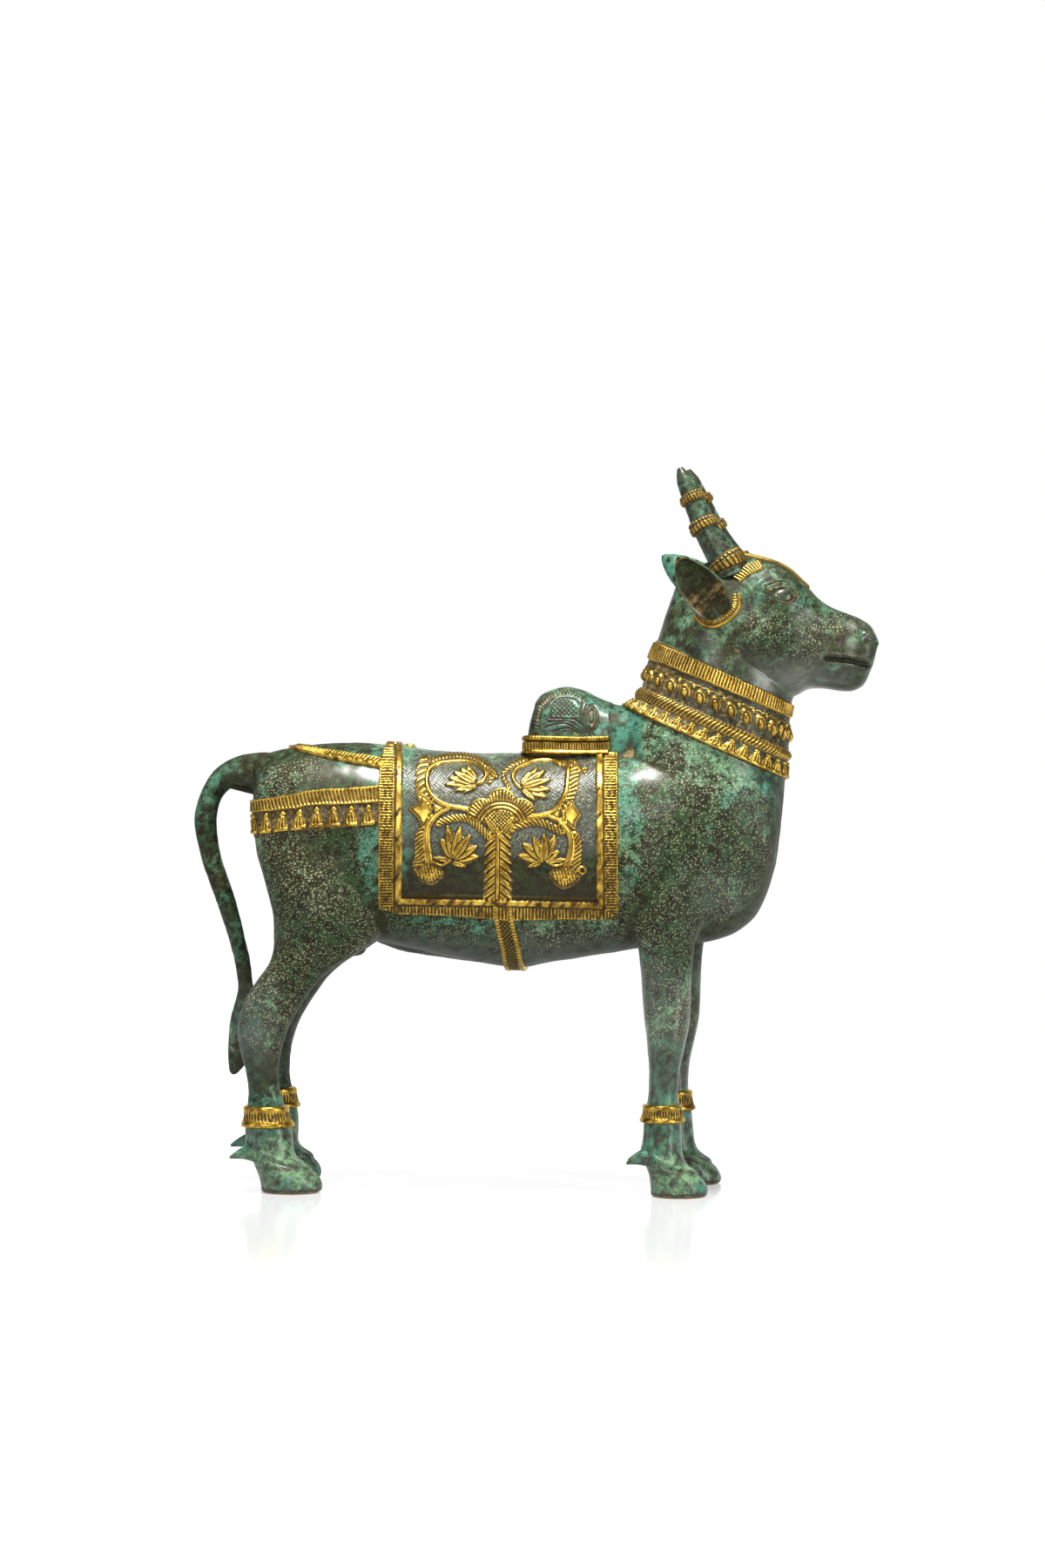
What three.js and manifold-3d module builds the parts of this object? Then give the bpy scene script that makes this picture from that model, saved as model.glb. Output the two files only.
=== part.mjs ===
// A standing humped bull (nandi), cast in brass as one piece: a patinated body with gilded trappings.
// Millimetres, +Z up, +X towards the muzzle, +Y to the bull's left. The origin is on the ground under the middle.
import * as THREE from "three";
import { mergeVertices } from "three/addons/utils/BufferGeometryUtils.js";
import Module from "manifold-3d";

const wasm = await Module();
wasm.setup();

// Driving dimensions
const SHOWN_SIDE = -1; // the bull's right, where the vine is worked out in full
const LEG_SPREAD = 30; // from the middle plane to the middle of a leg
const TRUNK_SQUARENESS = 2.35; // exponent of the trunk's rounded section, 2 being an ellipse
const BAND_RISE = 2; // how far the gilded bands stand proud of the body
const TASSEL_LENGTH = 9.5;
const TASSEL_RADIUS = 3.9;
const VINE_RADIUS = 2.3;
const HOOF_CLEFT = 1.6;

// Every form below is a list of sections. A section is cut across the form between two points of its side view,
// [x1, z1, x2, z2, half width], so one list holds an outline as it is seen from the side.
const TRUNK = [
  [-153.5, 228, -153.5, 202, 13],
  [-151, 236, -151, 186, 27],
  [-144, 240, -144, 166, 37],
  [-128, 243, -128, 150, 44.5],
  [-105, 244.8, -105, 140.5, 47.5],
  [-80, 243.6, -80, 134.5, 49.5],
  [-55, 239.8, -55, 129, 51.5],
  [-30, 238.2, -30, 124.2, 52.5],
  [-8, 238.2, -8, 121.2, 53],
  [12, 238.5, 12, 124.8, 52.5],
  [35, 240, 35, 128.3, 51.5],
  [58, 243, 58, 132, 50.5],
  [80, 246, 80, 134, 48.5],
  [98, 247, 98, 136.3, 45],
  [113, 245, 113, 142, 40],
  [124, 240, 124, 153.5, 33],
  [132, 231, 132, 175, 24],
  [135.4, 218, 135.4, 198, 12],
];
const HUMP = [
  [-3.6, 238, -2, 222, 12],
  [-3, 244, -1.5, 222, 18],
  [-1, 258, 0, 222, 21.5],
  [3, 269, 3.5, 222, 23],
  [10, 273.2, 10, 222, 24],
  [19, 274.8, 19, 222, 24.5],
  [29, 272.4, 29, 222, 24],
  [38, 268, 38, 222, 24],
  [48, 265.2, 48, 222, 25],
  [62, 268, 62, 222, 24],
];
const NECK = [
  [46, 205, 129, 170, 36],
  [45, 238, 135, 197, 40.5],
  [47, 260, 137.4, 219, 38.5],
  [56, 268.5, 138.6, 234, 34.5],
  [60.2, 275.5, 139.2, 241, 32],
  [63.6, 289.5, 139.8, 257.5, 29],
  [67.8, 300, 141.2, 265.5, 27.6],
  [72.8, 315, 142, 274, 25.5],
  [78, 330, 134, 290, 22],
];
// The two collars, each between two places of the neck's list.
const COLLARS = [[3, 4, BAND_RISE], [5, 6, BAND_RISE]];
const HEAD = [
  [79, 326, 86, 296, 15],
  [86, 338, 92, 286, 21],
  [97, 344, 103, 276, 24.5],
  [112, 347.3, 116, 267, 26],
  [126, 344.8, 131, 267, 25.5],
  [138, 340.2, 143, 270, 23.4],
  [148, 331.5, 151, 273.8, 20],
  [159, 320.8, 160, 273.8, 16.4],
  [170, 315.5, 169, 272.6, 15],
  [178.8, 312, 175.4, 273, 15.2],
  [185.2, 307, 181, 276.8, 13.4],
  [188.6, 299.5, 185.6, 287, 8.5],
];
const HIND_LEG = [
  [-112, 226, -140, 226, 6],
  [-97, 212, -149.2, 214, 12.5],
  [-86, 190, -149.8, 190, 17],
  [-79.5, 166, -143.8, 167, 19.5],
  [-79, 150, -139.8, 151, 19.5],
  [-82.5, 139, -139.4, 140, 18],
  [-92, 131, -139.6, 132, 16.4],
  [-105, 123, -142.2, 124, 15],
  [-115, 114.5, -148.3, 115.5, 14],
  [-121.5, 106, -154.2, 106.5, 13.2],
  [-127.5, 97, -158, 97, 12.5],
  [-132, 88, -159.3, 88, 11.6],
  [-135.3, 77.5, -158, 77.5, 10.6],
  [-136.8, 66, -154.9, 66, 9.8],
  [-136.5, 56, -153.4, 56, 9.5],
  [-133.4, 46, -154.2, 46, 10.2],
  [-130, 35, -155.2, 35, 11],
  [-129, 27, -154.4, 27, 11.3],
  [-127.4, 20, -152.6, 19.5, 11.8],
  [-120.5, 14.5, -149.6, 14, 12.8],
  [-114.8, 8.5, -147.6, 8.5, 13.7],
  [-113, 3.5, -146.4, 3.5, 14],
  [-113.8, 0, -146, 0, 13.4],
];
const FORE_LEG = [
  [98, 218, 64, 218, 6],
  [109, 200, 53, 200, 13.5],
  [108.5, 180, 50, 180, 17.5],
  [102, 162, 51, 162, 18.3],
  [95, 148, 53.6, 148, 17.2],
  [90, 136, 58.6, 136, 15.6],
  [88.2, 122, 60.4, 122, 14],
  [87.4, 106, 61.4, 106, 12.8],
  [86.6, 93, 62.6, 93, 12.2],
  [84.6, 82.5, 63.8, 82.5, 11.5],
  [82.2, 72, 64.6, 72, 10.4],
  [80.8, 62, 64.7, 62, 9.6],
  [80.6, 53, 64.2, 53, 9.5],
  [81.8, 44, 62.4, 44, 10.2],
  [82.3, 34, 61.6, 34, 10.8],
  [82.8, 24.5, 61.2, 24.5, 11.2],
  [84.8, 18.5, 62.8, 17.5, 11.7],
  [91, 13, 64.6, 12.5, 12.8],
  [95.6, 7, 65.6, 7, 13.6],
  [96.8, 3, 65.8, 3, 13.8],
  [96, 0, 66, 0, 13.2],
];
// Where each leg stands: its list, its side, how far forward of the list its foot, its shank and its top are set,
// the heights between which its bangle sits, and the height and reach of its dewclaws.
const LEGS = [
  { rows: HIND_LEG, side: -1, shifts: [0, 0, 0], bangle: [35.3, 45], claw: [22.5, 162.6] },
  { rows: HIND_LEG, side: 1, shifts: [-10, -3.5, -2], bangle: [41.3, 50.6], claw: [22.5, 162.6] },
  { rows: FORE_LEG, side: -1, shifts: [0, 0, 0], bangle: [40, 48.3], claw: [21.5, -53] },
  { rows: FORE_LEG, side: 1, shifts: [5.5, 3.5, 2.5], bangle: [40.7, 50], claw: [21.5, -53] },
];
const SHANK_HEIGHT = 48;
const TAIL = [
  [-146, 239.5, -146, 214, 11],
  [-154, 239.4, -154.5, 218, 9.5],
  [-163, 237.8, -161, 220.3, 8],
  [-172, 234, -167.5, 220, 7],
  [-179.5, 227.5, -172.5, 215.5, 6.4],
  [-185, 217.5, -175.3, 209.5, 6],
  [-188.9, 203, -176.4, 202, 5.8],
  [-186.6, 187, -175.4, 188, 5.4],
  [-181.6, 170.5, -171, 173, 5],
  [-175.8, 155, -165.6, 157, 4.6],
  [-170.6, 139.5, -161.6, 141, 4.3],
  [-166.6, 124.5, -158, 125.5, 4.1],
  [-164.4, 110.5, -155.8, 110.5, 4],
  [-166.2, 101, -153.4, 101, 5],
  [-169, 90, -152, 90, 5.8],
  [-170, 78, -155, 77, 5.4],
  [-170, 66, -160.5, 66.5, 3.6],
  [-168.4, 60.3, -165.6, 60.8, 1.2],
];
const SHEATH = [
  [-92, 142, -92, 137.5, 4],
  [-84, 142, -82, 133.2, 8],
  [-74, 140, -71, 129.6, 8.5],
  [-60, 140, -58, 127.6, 8],
  [-44, 138, -44, 125.6, 7],
  [-30, 136, -30, 123.6, 4],
];
const SCROTUM = [
  [-112, 150, -108, 142, 9],
  [-112, 143, -99, 142, 11],
  [-109, 135, -93.5, 135, 12],
  [-106, 129.5, -93, 130, 10],
  [-102, 127, -96, 127.3, 5],
];
// The rows of beads and tassels that hang from the collars, as garland levels.
const BEADS = { count: 18, levels: [[4.9, 0.4, -1.6], [4.6, 0.6, 3.4], [4.3, 0.4, -1.6]] };
const TASSELS = { count: 22, levels: [[2.99, 0.4, -1.6], [2.36, 0.74, 3.2], [2.33, 0.7, -1.8]] };
// A horn leans back along this line, [x, distance from the middle plane, z, radius].
const HORN = [
  [109, 12.5, 335, 9.6],
  [106, 12.5, 342.5, 8.7],
  [102, 12, 348.4, 8],
  [98, 11, 355, 7.3],
  [93.8, 9.8, 362.8, 6.6],
  [90.5, 8.6, 370.4, 6],
  [87.6, 7.4, 377.3, 5.5],
  [85.2, 6.6, 382.6, 5],
  [82.6, 5.8, 389, 4],
  [80.6, 5.2, 394.4, 1.7],
];
const HORN_RINGS = [
  { at: 1, reach: 1.9, half: 0.45 },
  { at: 4, reach: 1.7, half: 0.38 },
  { at: 6.1, reach: 1.6, half: 0.42 },
];
const FAR_HORN_FORWARD = 3.8;
// The ears are cupped leaves. The near one faces out sideways, the far one is swept further back.
const EARS = [
  { base: [105.5, -21, 311], tip: [80.8, -45, 343], across: [0.75, 0.2, 0.5], halfWidth: 11 },
  { base: [103, 20, 324], tip: [69, 42, 349.6], across: [0.62, -0.2, 0.7], halfWidth: 10.5 },
];
const EYE = [135.8, 23.4, 323.6];

// The saddle cloth in side view: its outer edge, and how broad its raised border is.
const CLOTH = { back: -79, front: 49, bottom: 151, top: 249 };
const CLOTH_BORDER = 10.5;
// The vine on the cloth, in side view from the middle of its stem: half of it, mirrored to the other half.
const VINE_X = -15;
const VINE = [
  [[0, 163], [-0.6, 190], [-8, 205], [-22, 211.5], [-35, 217], [-39.5, 227]],
  [[-29, 214], [-36.5, 205], [-38.6, 193], [-36.5, 181], [-28, 173]],
  [[-39.4, 226], [-34.5, 234], [-25, 237.5], [-13, 236], [-9.5, 227]],
];
const LOTUSES = [
  { at: [-27, 221], turn: 0.6, size: 13 },
  { at: [-24, 178], turn: 2, size: 16 },
];
const FAN = { at: 202, size: 13 };
const PETALS = 4;

const PATINA = new THREE.Color(0.19, 0.3, 0.25);

// A row of a list at any place between its sections, by a Catmull-Rom curve through each column.
function rowAt(rows, place) {
  const last = rows.length - 1;
  const i = Math.min(Math.max(Math.floor(place), 0), last - 1);
  const t = place - i;
  const [a, b, c, d] = [rows[Math.max(i - 1, 0)], rows[i], rows[i + 1], rows[Math.min(i + 2, last)]];
  return b.map(
    (_, k) =>
      b[k] +
      0.5 * t * (c[k] - a[k] + t * (2 * a[k] - 5 * b[k] + 4 * c[k] - d[k] + t * (3 * (b[k] - c[k]) + d[k] - a[k]))),
  );
}

// The solid of a closed triangle mesh, turned so that its faces point out.
function solidOf(points, triangles) {
  const geometry = new THREE.BufferGeometry();
  geometry.setAttribute("position", new THREE.Float32BufferAttribute(points.flat(), 3));
  geometry.setIndex(triangles.flat());
  const merged = mergeVertices(geometry, 1e-4);
  const make = (triVerts) =>
    new wasm.Manifold(
      new wasm.Mesh({ numProp: 3, vertProperties: merged.attributes.position.array, triVerts: Uint32Array.from(triVerts) }),
    );
  const solid = make(merged.index.array);
  return solid.volume() > 0 ? solid : make([...merged.index.array].reverse());
}

// A closed skin over rings of points, with each end closed on its ring's middle.
function skin(rings) {
  const sides = rings[0].length;
  const middle = (ring) => [0, 1, 2].map((k) => ring.reduce((sum, p) => sum + p[k], 0) / sides);
  const points = [...rings.flat(), middle(rings[0]), middle(rings.at(-1))];
  const triangles = [];
  for (let s = 0; s < sides; s++) {
    const next = (s + 1) % sides;
    for (let r = 0; r + 1 < rings.length; r++) {
      const [a, b, c, d] = [r * sides + s, r * sides + next, (r + 1) * sides + s, (r + 1) * sides + next];
      triangles.push([a, b, d], [a, d, c]);
    }
    const end = (rings.length - 1) * sides;
    triangles.push([points.length - 2, next, s], [points.length - 1, end + s, end + next]);
  }
  return solidOf(points, triangles);
}

// The point at an angle round one section: a superellipse between its two side-view points, grown by `grow`.
function sectionPoint([x1, z1, x2, z2, half], angle, { y = 0, power = 2, grow = 0 }) {
  const reach = Math.hypot(x1 - x2, z1 - z2) / 2 || 1;
  const round = (v) => Math.sign(v) * Math.abs(v) ** (2 / power);
  const [c, w] = [round(Math.cos(angle)) * (1 + grow / reach), round(Math.sin(angle)) * (half + grow)];
  return [(x1 + x2) / 2 + (c * (x1 - x2)) / 2, y + w, (z1 + z2) / 2 + (c * (z1 - z2)) / 2];
}

function sectionRing(row, { sides = 20, ...shape }) {
  return Array.from({ length: sides }, (_, s) => sectionPoint(row, (2 * Math.PI * s) / sides, shape));
}

// A form from its list of sections, from place `from` to place `to` of the list. Each band [place, place, rise]
// stands proud of the form between its two places.
function form(rows, { rings = 2 * rows.length, from = 0, to = rows.length - 1, bands = [], grow = 0, ...ring } = {}) {
  const sections = Array.from({ length: rings + 1 }, (_, i) => [from + ((to - from) * i) / rings, grow]);
  return skin(banded(sections, bands).map(([place, rise]) => sectionRing(rowAt(rows, place), { ...ring, grow: rise })));
}

// Sections, [place, rise], with those inside a band left out and the band's four edges put in.
function banded(sections, bands) {
  const outside = sections.filter(([place]) => bands.every(([a, b]) => place < a - 0.12 || place > b + 0.12));
  const edges = bands.flatMap(([a, b, rise]) => {
    const bevel = 0.14 * (b - a);
    return [[a, 0], [a + bevel, rise], [b - bevel, rise], [b, 0]];
  });
  return [...outside, ...edges].sort((one, other) => one[0] - other[0]);
}

// A round tube along points, [x, y, z, radius], squashed to `flat` of its radius across `flatAlong`.
function tube(path, { sides = 6, flat = 1, flatAlong = null } = {}) {
  const at = path.map(([x, y, z]) => new THREE.Vector3(x, y, z));
  const rings = path.map(([, , , radius], i) => {
    const along = at[Math.min(i + 1, at.length - 1)].clone().sub(at[Math.max(i - 1, 0)]).normalize();
    const out = flatAlong ? flatAlong[i].clone() : new THREE.Vector3(0, 1, 0);
    out.addScaledVector(along, -out.dot(along)).normalize();
    const side = new THREE.Vector3().crossVectors(along, out);
    return Array.from({ length: sides }, (_, s) => {
      const angle = (2 * Math.PI * (s + 0.5)) / sides;
      const point = at[i].clone();
      point.addScaledVector(side, radius * Math.cos(angle));
      return point.addScaledVector(out, radius * flat * Math.sin(angle)).toArray();
    });
  });
  return skin(rings);
}

// A flat outline in side view, [x, z], drawn right through the statue from y1 to y2.
function prism(outline, y1 = -90, y2 = 90) {
  const shape = new THREE.Shape(outline.map(([x, z]) => new THREE.Vector2(x, z)));
  const geometry = new THREE.ExtrudeGeometry(shape, { depth: y2 - y1, bevelEnabled: false });
  geometry.rotateX(Math.PI / 2).translate(0, y2, 0);
  geometry.deleteAttribute("normal");
  geometry.deleteAttribute("uv");
  const merged = mergeVertices(geometry, 1e-4);
  const points = Array.from({ length: merged.attributes.position.count }, (_, i) =>
    new THREE.Vector3().fromBufferAttribute(merged.attributes.position, i).toArray(),
  );
  const triangles = Array.from({ length: merged.index.count / 3 }, (_, i) => [0, 1, 2].map((k) => merged.index.getX(3 * i + k)));
  return solidOf(points, triangles);
}

const rectangle = (x1, x2, z1, z2) => [[x1, z1], [x2, z1], [x2, z2], [x1, z2]];
const join = (solids) => solids.reduce((sum, solid) => sum.add(solid));

const trunk = (grow = 0) => form(TRUNK, { rings: 18, sides: 18, power: TRUNK_SQUARENESS, grow });
const hump = (grow = 0) => form(HUMP, { rings: 10, sides: 14, power: 2.3, grow });

// The point of the trunk's side at a place in side view, and the direction that it faces.
function onFlank(x, z, side, out = 0) {
  const place = TRUNK.findIndex((row) => row[0] > x) - 1;
  const share = (x - TRUNK[place][0]) / (TRUNK[place + 1][0] - TRUNK[place][0]);
  const [, top, , bottom, half] = rowAt(TRUNK, place + share);
  const up = (z - (top + bottom) / 2) / ((top - bottom) / 2);
  const y = half * Math.max(0, 1 - Math.abs(up) ** TRUNK_SQUARENESS) ** (1 / TRUNK_SQUARENESS);
  const facing = new THREE.Vector3(
    0,
    (y / half) ** (TRUNK_SQUARENESS - 1) / half,
    (Math.sign(up) * Math.abs(up) ** (TRUNK_SQUARENESS - 1)) / ((top - bottom) / 2),
  ).normalize();
  facing.y *= side;
  return { at: new THREE.Vector3(x, side * y, z).addScaledVector(facing, out), facing };
}

// One leg with its hoof, cleft, dewclaws and bangle.
function leg({ rows, side, shifts, bangle, claw }) {
  const [footShift, shankShift, topShift] = shifts;
  const y = side * LEG_SPREAD;
  const shifted = rows.map(([x1, z1, x2, z2, half]) => {
    const low = footShift + ((shankShift - footShift) * z1) / SHANK_HEIGHT;
    const high = shankShift + ((topShift - shankShift) * (z1 - SHANK_HEIGHT)) / (rows[0][1] - SHANK_HEIGHT);
    const shift = z1 < SHANK_HEIGHT ? low : high;
    return [x1 + shift, z1, x2 + shift, z2, half];
  });
  const placeAt = (z) => {
    const i = shifted.findIndex((row) => row[1] + row[3] < 2 * z) - 1;
    const [above, below] = [shifted[i], shifted[i + 1]];
    return i + (above[1] + above[3] - 2 * z) / (above[1] + above[3] - below[1] - below[3]);
  };
  const limb = form(shifted, { rings: 13, sides: 8, y, bands: [[placeAt(bangle[1]), placeAt(bangle[0]), 2.2]] });
  const [heelX, toeX] = [shifted.at(-1)[2], shifted.at(-1)[0]];
  const cleft = prism(
    [[toeX + 3, -1], [toeX + 3, 12], [heelX + 19, 17], [heelX + 21, -1]],
    y - HOOF_CLEFT / 2,
    y + HOOF_CLEFT / 2,
  );
  const backX = shifted.at(-5)[2];
  const claws = [-1, 1].map((turn) =>
    tube(
      [
        [backX + 5, y + turn * 5.4, claw[0] + 0.6, 4.8],
        [footShift - claw[1], y + turn * 6.4, claw[0] - 2.6, 0.8],
      ],
      { sides: 4 },
    ),
  );
  return join([limb, ...claws]).subtract(cleft);
}

// One horn with its three rings.
function horn(side) {
  const place = ([x, away, z, radius]) => [x + (side > 0 ? FAR_HORN_FORWARD : 0), side * away, z, radius];
  const sections = Array.from({ length: 6 }, (_, i) => [((HORN.length - 1) * i) / 5, 0]);
  const bands = HORN_RINGS.map(({ at, half, reach }) => [at - half, at + half, reach]);
  const path = banded(sections, bands).map(([at, rise]) => {
    const [x, y, z, radius] = place(rowAt(HORN, at));
    return [x, y, z, radius + rise];
  });
  return tube(path, { sides: 8 });
}

// A cupped leaf: each section is a crescent, its hollow towards `across` turned a quarter about the ear's length.
function ear({ base, tip, across, halfWidth }) {
  const [from, to] = [new THREE.Vector3(...base), new THREE.Vector3(...tip)];
  const along = to.clone().sub(from);
  const wide = new THREE.Vector3(...across);
  wide.addScaledVector(along, -wide.dot(along) / along.lengthSq()).normalize();
  const face = new THREE.Vector3().crossVectors(along, wide).normalize();
  if (face.y * Math.sign(from.y) < 0) face.negate();
  const rings = [-0.16, 0.02, 0.2, 0.42, 0.66, 0.88, 1].map((t) => {
    const half = halfWidth * Math.max(0.1, Math.sin(Math.PI * Math.min(1, 0.16 + 0.84 * Math.max(t, 0) ** 0.8)) ** 0.75);
    const hollow = 4.4 * Math.sin(Math.PI * Math.min(1, Math.max(0, t + 0.16) / 1.16));
    const rim = t < 0 ? 4 : 2.6 * (1 - t) + 1;
    const offsets = [-1, -0.5, 0, 0.5, 1].map((w) => [w, -hollow * (1 - w * w)]);
    const back = [0.8, 0.3, -0.3, -0.8].map((w) => [w, -hollow * (1 - w * w) - rim]);
    return [...offsets, ...back].map(([w, out]) =>
      from.clone().addScaledVector(along, t).addScaledVector(wide, w * half).addScaledVector(face, out).toArray(),
    );
  });
  return skin(rings);
}

// The head with its jaw, eyes, mouth line, nostrils, brow band and the strip down its forehead.
function head() {
  const skull = form(HEAD, { rings: 14, sides: 14, power: 2.2 });
  const eyes = [-1, 1].map((side) => {
    const [x, y, z] = EYE;
    return tube(
      [[x - 5.6, side * (y - 2), z + 1.5, 0.5], [x, side * (y - 1), z, 4.4], [x + 5.6, side * (y - 4), z - 1.6, 0.5]],
      { sides: 6 },
    );
  });
  const lips = tube(
    [[154, -20, 293.2, 0.8], [166, -17.4, 290.6, 1.3], [180, -14.5, 287.8, 1.5], [190, -6, 285.8, 1.5],
      [190, 6, 285.8, 1.5], [180, 14.5, 287.8, 1.5], [166, 17.4, 290.6, 1.3], [154, 20, 293.2, 0.8]],
    { sides: 4 },
  );
  const nostrils = [-1, 1].map((side) =>
    tube([[182, side * 16, 304, 1.2], [188.5, side * 9.5, 300, 2.4]], { sides: 5 }),
  );
  const brow = tube(
    [[103.5, -24.4, 320, 2.4], [108.4, -21.6, 333, 2.6], [115.4, -12, 343, 2.6], [120.5, 0, 345.4, 2.6],
      [115.4, 12, 343, 2.6], [108.4, 21.6, 333, 2.6], [103.5, 24.4, 320, 2.4]],
    { sides: 4 },
  );
  const strip = tube(
    [[116, 0, 345, 2.8], [127, 0, 343.2, 2.8], [138, 0, 338.6, 2.6], [147.5, 0, 330.3, 2]],
    { sides: 4 },
  );
  return join([skull, ...eyes, brow, strip]).subtract(join([lips, ...nostrils]));
}

// Hung trinkets along a row, each placed by `place(share)` giving a point, the way it faces and the way it hangs.
function tassels(count, place) {
  return Array.from({ length: count }, (_, i) => {
    const { at, facing, down } = place((i + 0.5) / count);
    const profile = [[0, 0.5], [1, 1]];
    return tube(
      profile.map(([along, wide]) => [
        ...at.clone().addScaledVector(down, along * TASSEL_LENGTH).toArray(),
        wide * TASSEL_RADIUS,
      ]),
      { sides: 4, flat: 0.85, flatAlong: profile.map(() => facing) },
    );
  });
}

// A row of raised pieces right round the neck. Each level [place, width, rise] gives a place in the neck's list,
// how much of its room a piece takes up there and how far it stands out. The gaps lie just under the skin.
function garland(count, levels) {
  const rings = levels.map(([place, width, rise]) => {
    const row = rowAt(NECK, place);
    const at = (share, grow) => sectionPoint(row, (2 * Math.PI * share) / count, { grow });
    return Array.from({ length: count }, (_, i) => [
      at(i, -1.6),
      at(i + 0.5 - width / 2, rise),
      at(i + 0.5 + width / 2, rise),
    ]).flat();
  });
  return skin(rings);
}

function collaredNeck() {
  const neck = form(NECK, { rings: 8, sides: 16, bands: COLLARS });
  return join([neck, garland(BEADS.count, BEADS.levels), garland(TASSELS.count, TASSELS.levels)]);
}

// The line of the rump strap, from the cloth's rear border at one side round behind the tail to the other.
function rumpStrap() {
  const half = [[-76, 209], [-95, 208.5], [-115, 207], [-134, 204.5]];
  const side = (turn) =>
    half.map(([x, z]) => {
      const { at } = onFlank(x, z, turn, -0.6);
      return [at.x, at.y, at.z, 7.2];
    });
  const round = [[-147, 33, 201.5], [-154.5, 21, 199.5], [-156.6, 8, 198.5]];
  const path = [
    ...side(-1),
    ...round.map(([x, y, z]) => [x, -y, z, 7.2]),
    ...[...round].reverse().map(([x, y, z]) => [x, y, z, 7.2]),
    ...side(1).reverse(),
  ];
  const centre = new THREE.Vector3(-95, 0, 190);
  const out = path.map(([x, y, z]) => new THREE.Vector3(x, y, z).sub(centre).setZ(0).normalize());
  const band = tube(path, { sides: 4, flat: 0.47, flatAlong: out });
  const points = path.map(([x, y, z]) => new THREE.Vector3(x, y, z));
  const curve = new THREE.CatmullRomCurve3(points);
  const hung = tassels(12, (share) => {
    const at = curve.getPointAt(0.02 + 0.96 * share);
    const facing = at.clone().sub(centre).setZ(0).normalize();
    return { at: at.setZ(at.z + 1), facing, down: new THREE.Vector3(0, 0, -1) };
  });
  return join([band, ...hung]);
}

// The two straps that run from the cloth over the croup to the root of the tail.
function croupStraps() {
  return [-1, 1].map((side) => {
    const line = [[-78, 24, 236.4], [-95, 19.5, 240.2], [-112, 14.5, 243], [-128, 9, 243.6], [-141, 5, 241]];
    const path = line.map(([x, away, z]) => [x, side * away, z, 3.1]);
    return tube(path, { sides: 4, flat: 0.5, flatAlong: path.map(() => new THREE.Vector3(0, side * 0.35, 1)) });
  });
}

// The saddle cloth's raised borders, the belt round the hump and the girth under the belly.
function cloth() {
  const { back, front, bottom, top } = CLOTH;
  const body = trunk(BAND_RISE).add(hump(BAND_RISE));
  const frame = (inner, outer) =>
    prism(rectangle(back + inner, front - inner, bottom + inner, top + 20)).subtract(
      prism(rectangle(back + outer, front - outer, bottom + outer, top + 30)),
    );
  const aboveBelt = prism(rectangle(0, front + 1, top, top + 60));
  const borders = body.intersect(frame(0, CLOTH_BORDER).subtract(aboveBelt));
  const belt = hump(BAND_RISE + 1.2).intersect(prism(rectangle(-12, front - CLOTH_BORDER, 239.5, top)));
  const girth = trunk(BAND_RISE).intersect(prism(rectangle(-17.5, -7.5, 100, bottom + 3)));
  return join([borders, belt, girth]);
}

// A flower on the flank, its pointed petals fanned about a direction from its foot, highest in the middle.
function flower([x, z], turn, size, spread, side) {
  const outline = [[-0.1, 0]];
  for (let i = 0; i <= 2 * PETALS; i++) {
    const share = i / (2 * PETALS) - 0.5;
    const angle = turn + spread * share;
    const reach = i % 2 ? 1 - 0.5 * Math.abs(share) : 0.55;
    outline.push([reach * Math.cos(angle), reach * Math.sin(angle)]);
  }
  const ring = (scale, out) =>
    outline.map(([u, w]) => onFlank(x + scale * size * u, z + scale * size * w, side, out).at.toArray());
  return skin([ring(1, -1.2), ring(0.6, 2.3)]);
}

// The vine in relief on both sides of the cloth, with its lotus flowers and the fan at its fork. The bull's left
// side has the stem and the lower flowers alone.
function vine() {
  const pieces = [];
  for (const side of [-1, 1]) {
    for (const mirror of [-1, 1]) {
      for (const line of side === SHOWN_SIDE ? VINE : VINE.slice(0, 1)) {
        const curve = new THREE.SplineCurve(line.map(([x, z]) => new THREE.Vector2(VINE_X - mirror * x, z)));
        const steps = curve.getPoints(line.length - 1).map(({ x, y }) => onFlank(x, y, side, 0.3));
        pieces.push(
          tube(steps.map(({ at }) => [...at.toArray(), VINE_RADIUS]), {
            sides: 3,
            flat: 0.8,
            flatAlong: steps.map(({ facing }) => facing),
          }),
        );
      }
      for (const { at, turn, size } of side === SHOWN_SIDE ? LOTUSES : LOTUSES.slice(1)) {
        const heading = mirror > 0 ? turn : Math.PI - turn;
        pieces.push(flower([VINE_X - mirror * at[0], at[1]], heading, size, 2.4, side));
      }
    }
    pieces.push(flower([VINE_X, FAN.at], Math.PI / 2, FAN.size, Math.PI, side));
  }
  return join(pieces);
}

// The whole casting as one solid.
function casting() {
  const solid = join([
    trunk(),
    hump(),
    head(),
    horn(-1),
    horn(1),
    ...EARS.map(ear),
    ...LEGS.map(leg),
    form(TAIL, { rings: 18, sides: 6 }),
    form(SHEATH, { rings: 7, sides: 8 }),
    form(SCROTUM, { rings: 5, sides: 8 }),
    collaredNeck(),
    cloth(),
    vine(),
    rumpStrap(),
    ...croupStraps(),
  ]);
  const ground = prism(rectangle(-250, 250, -20, 0), -150, 150);
  return solid.subtract(ground);
}

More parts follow.
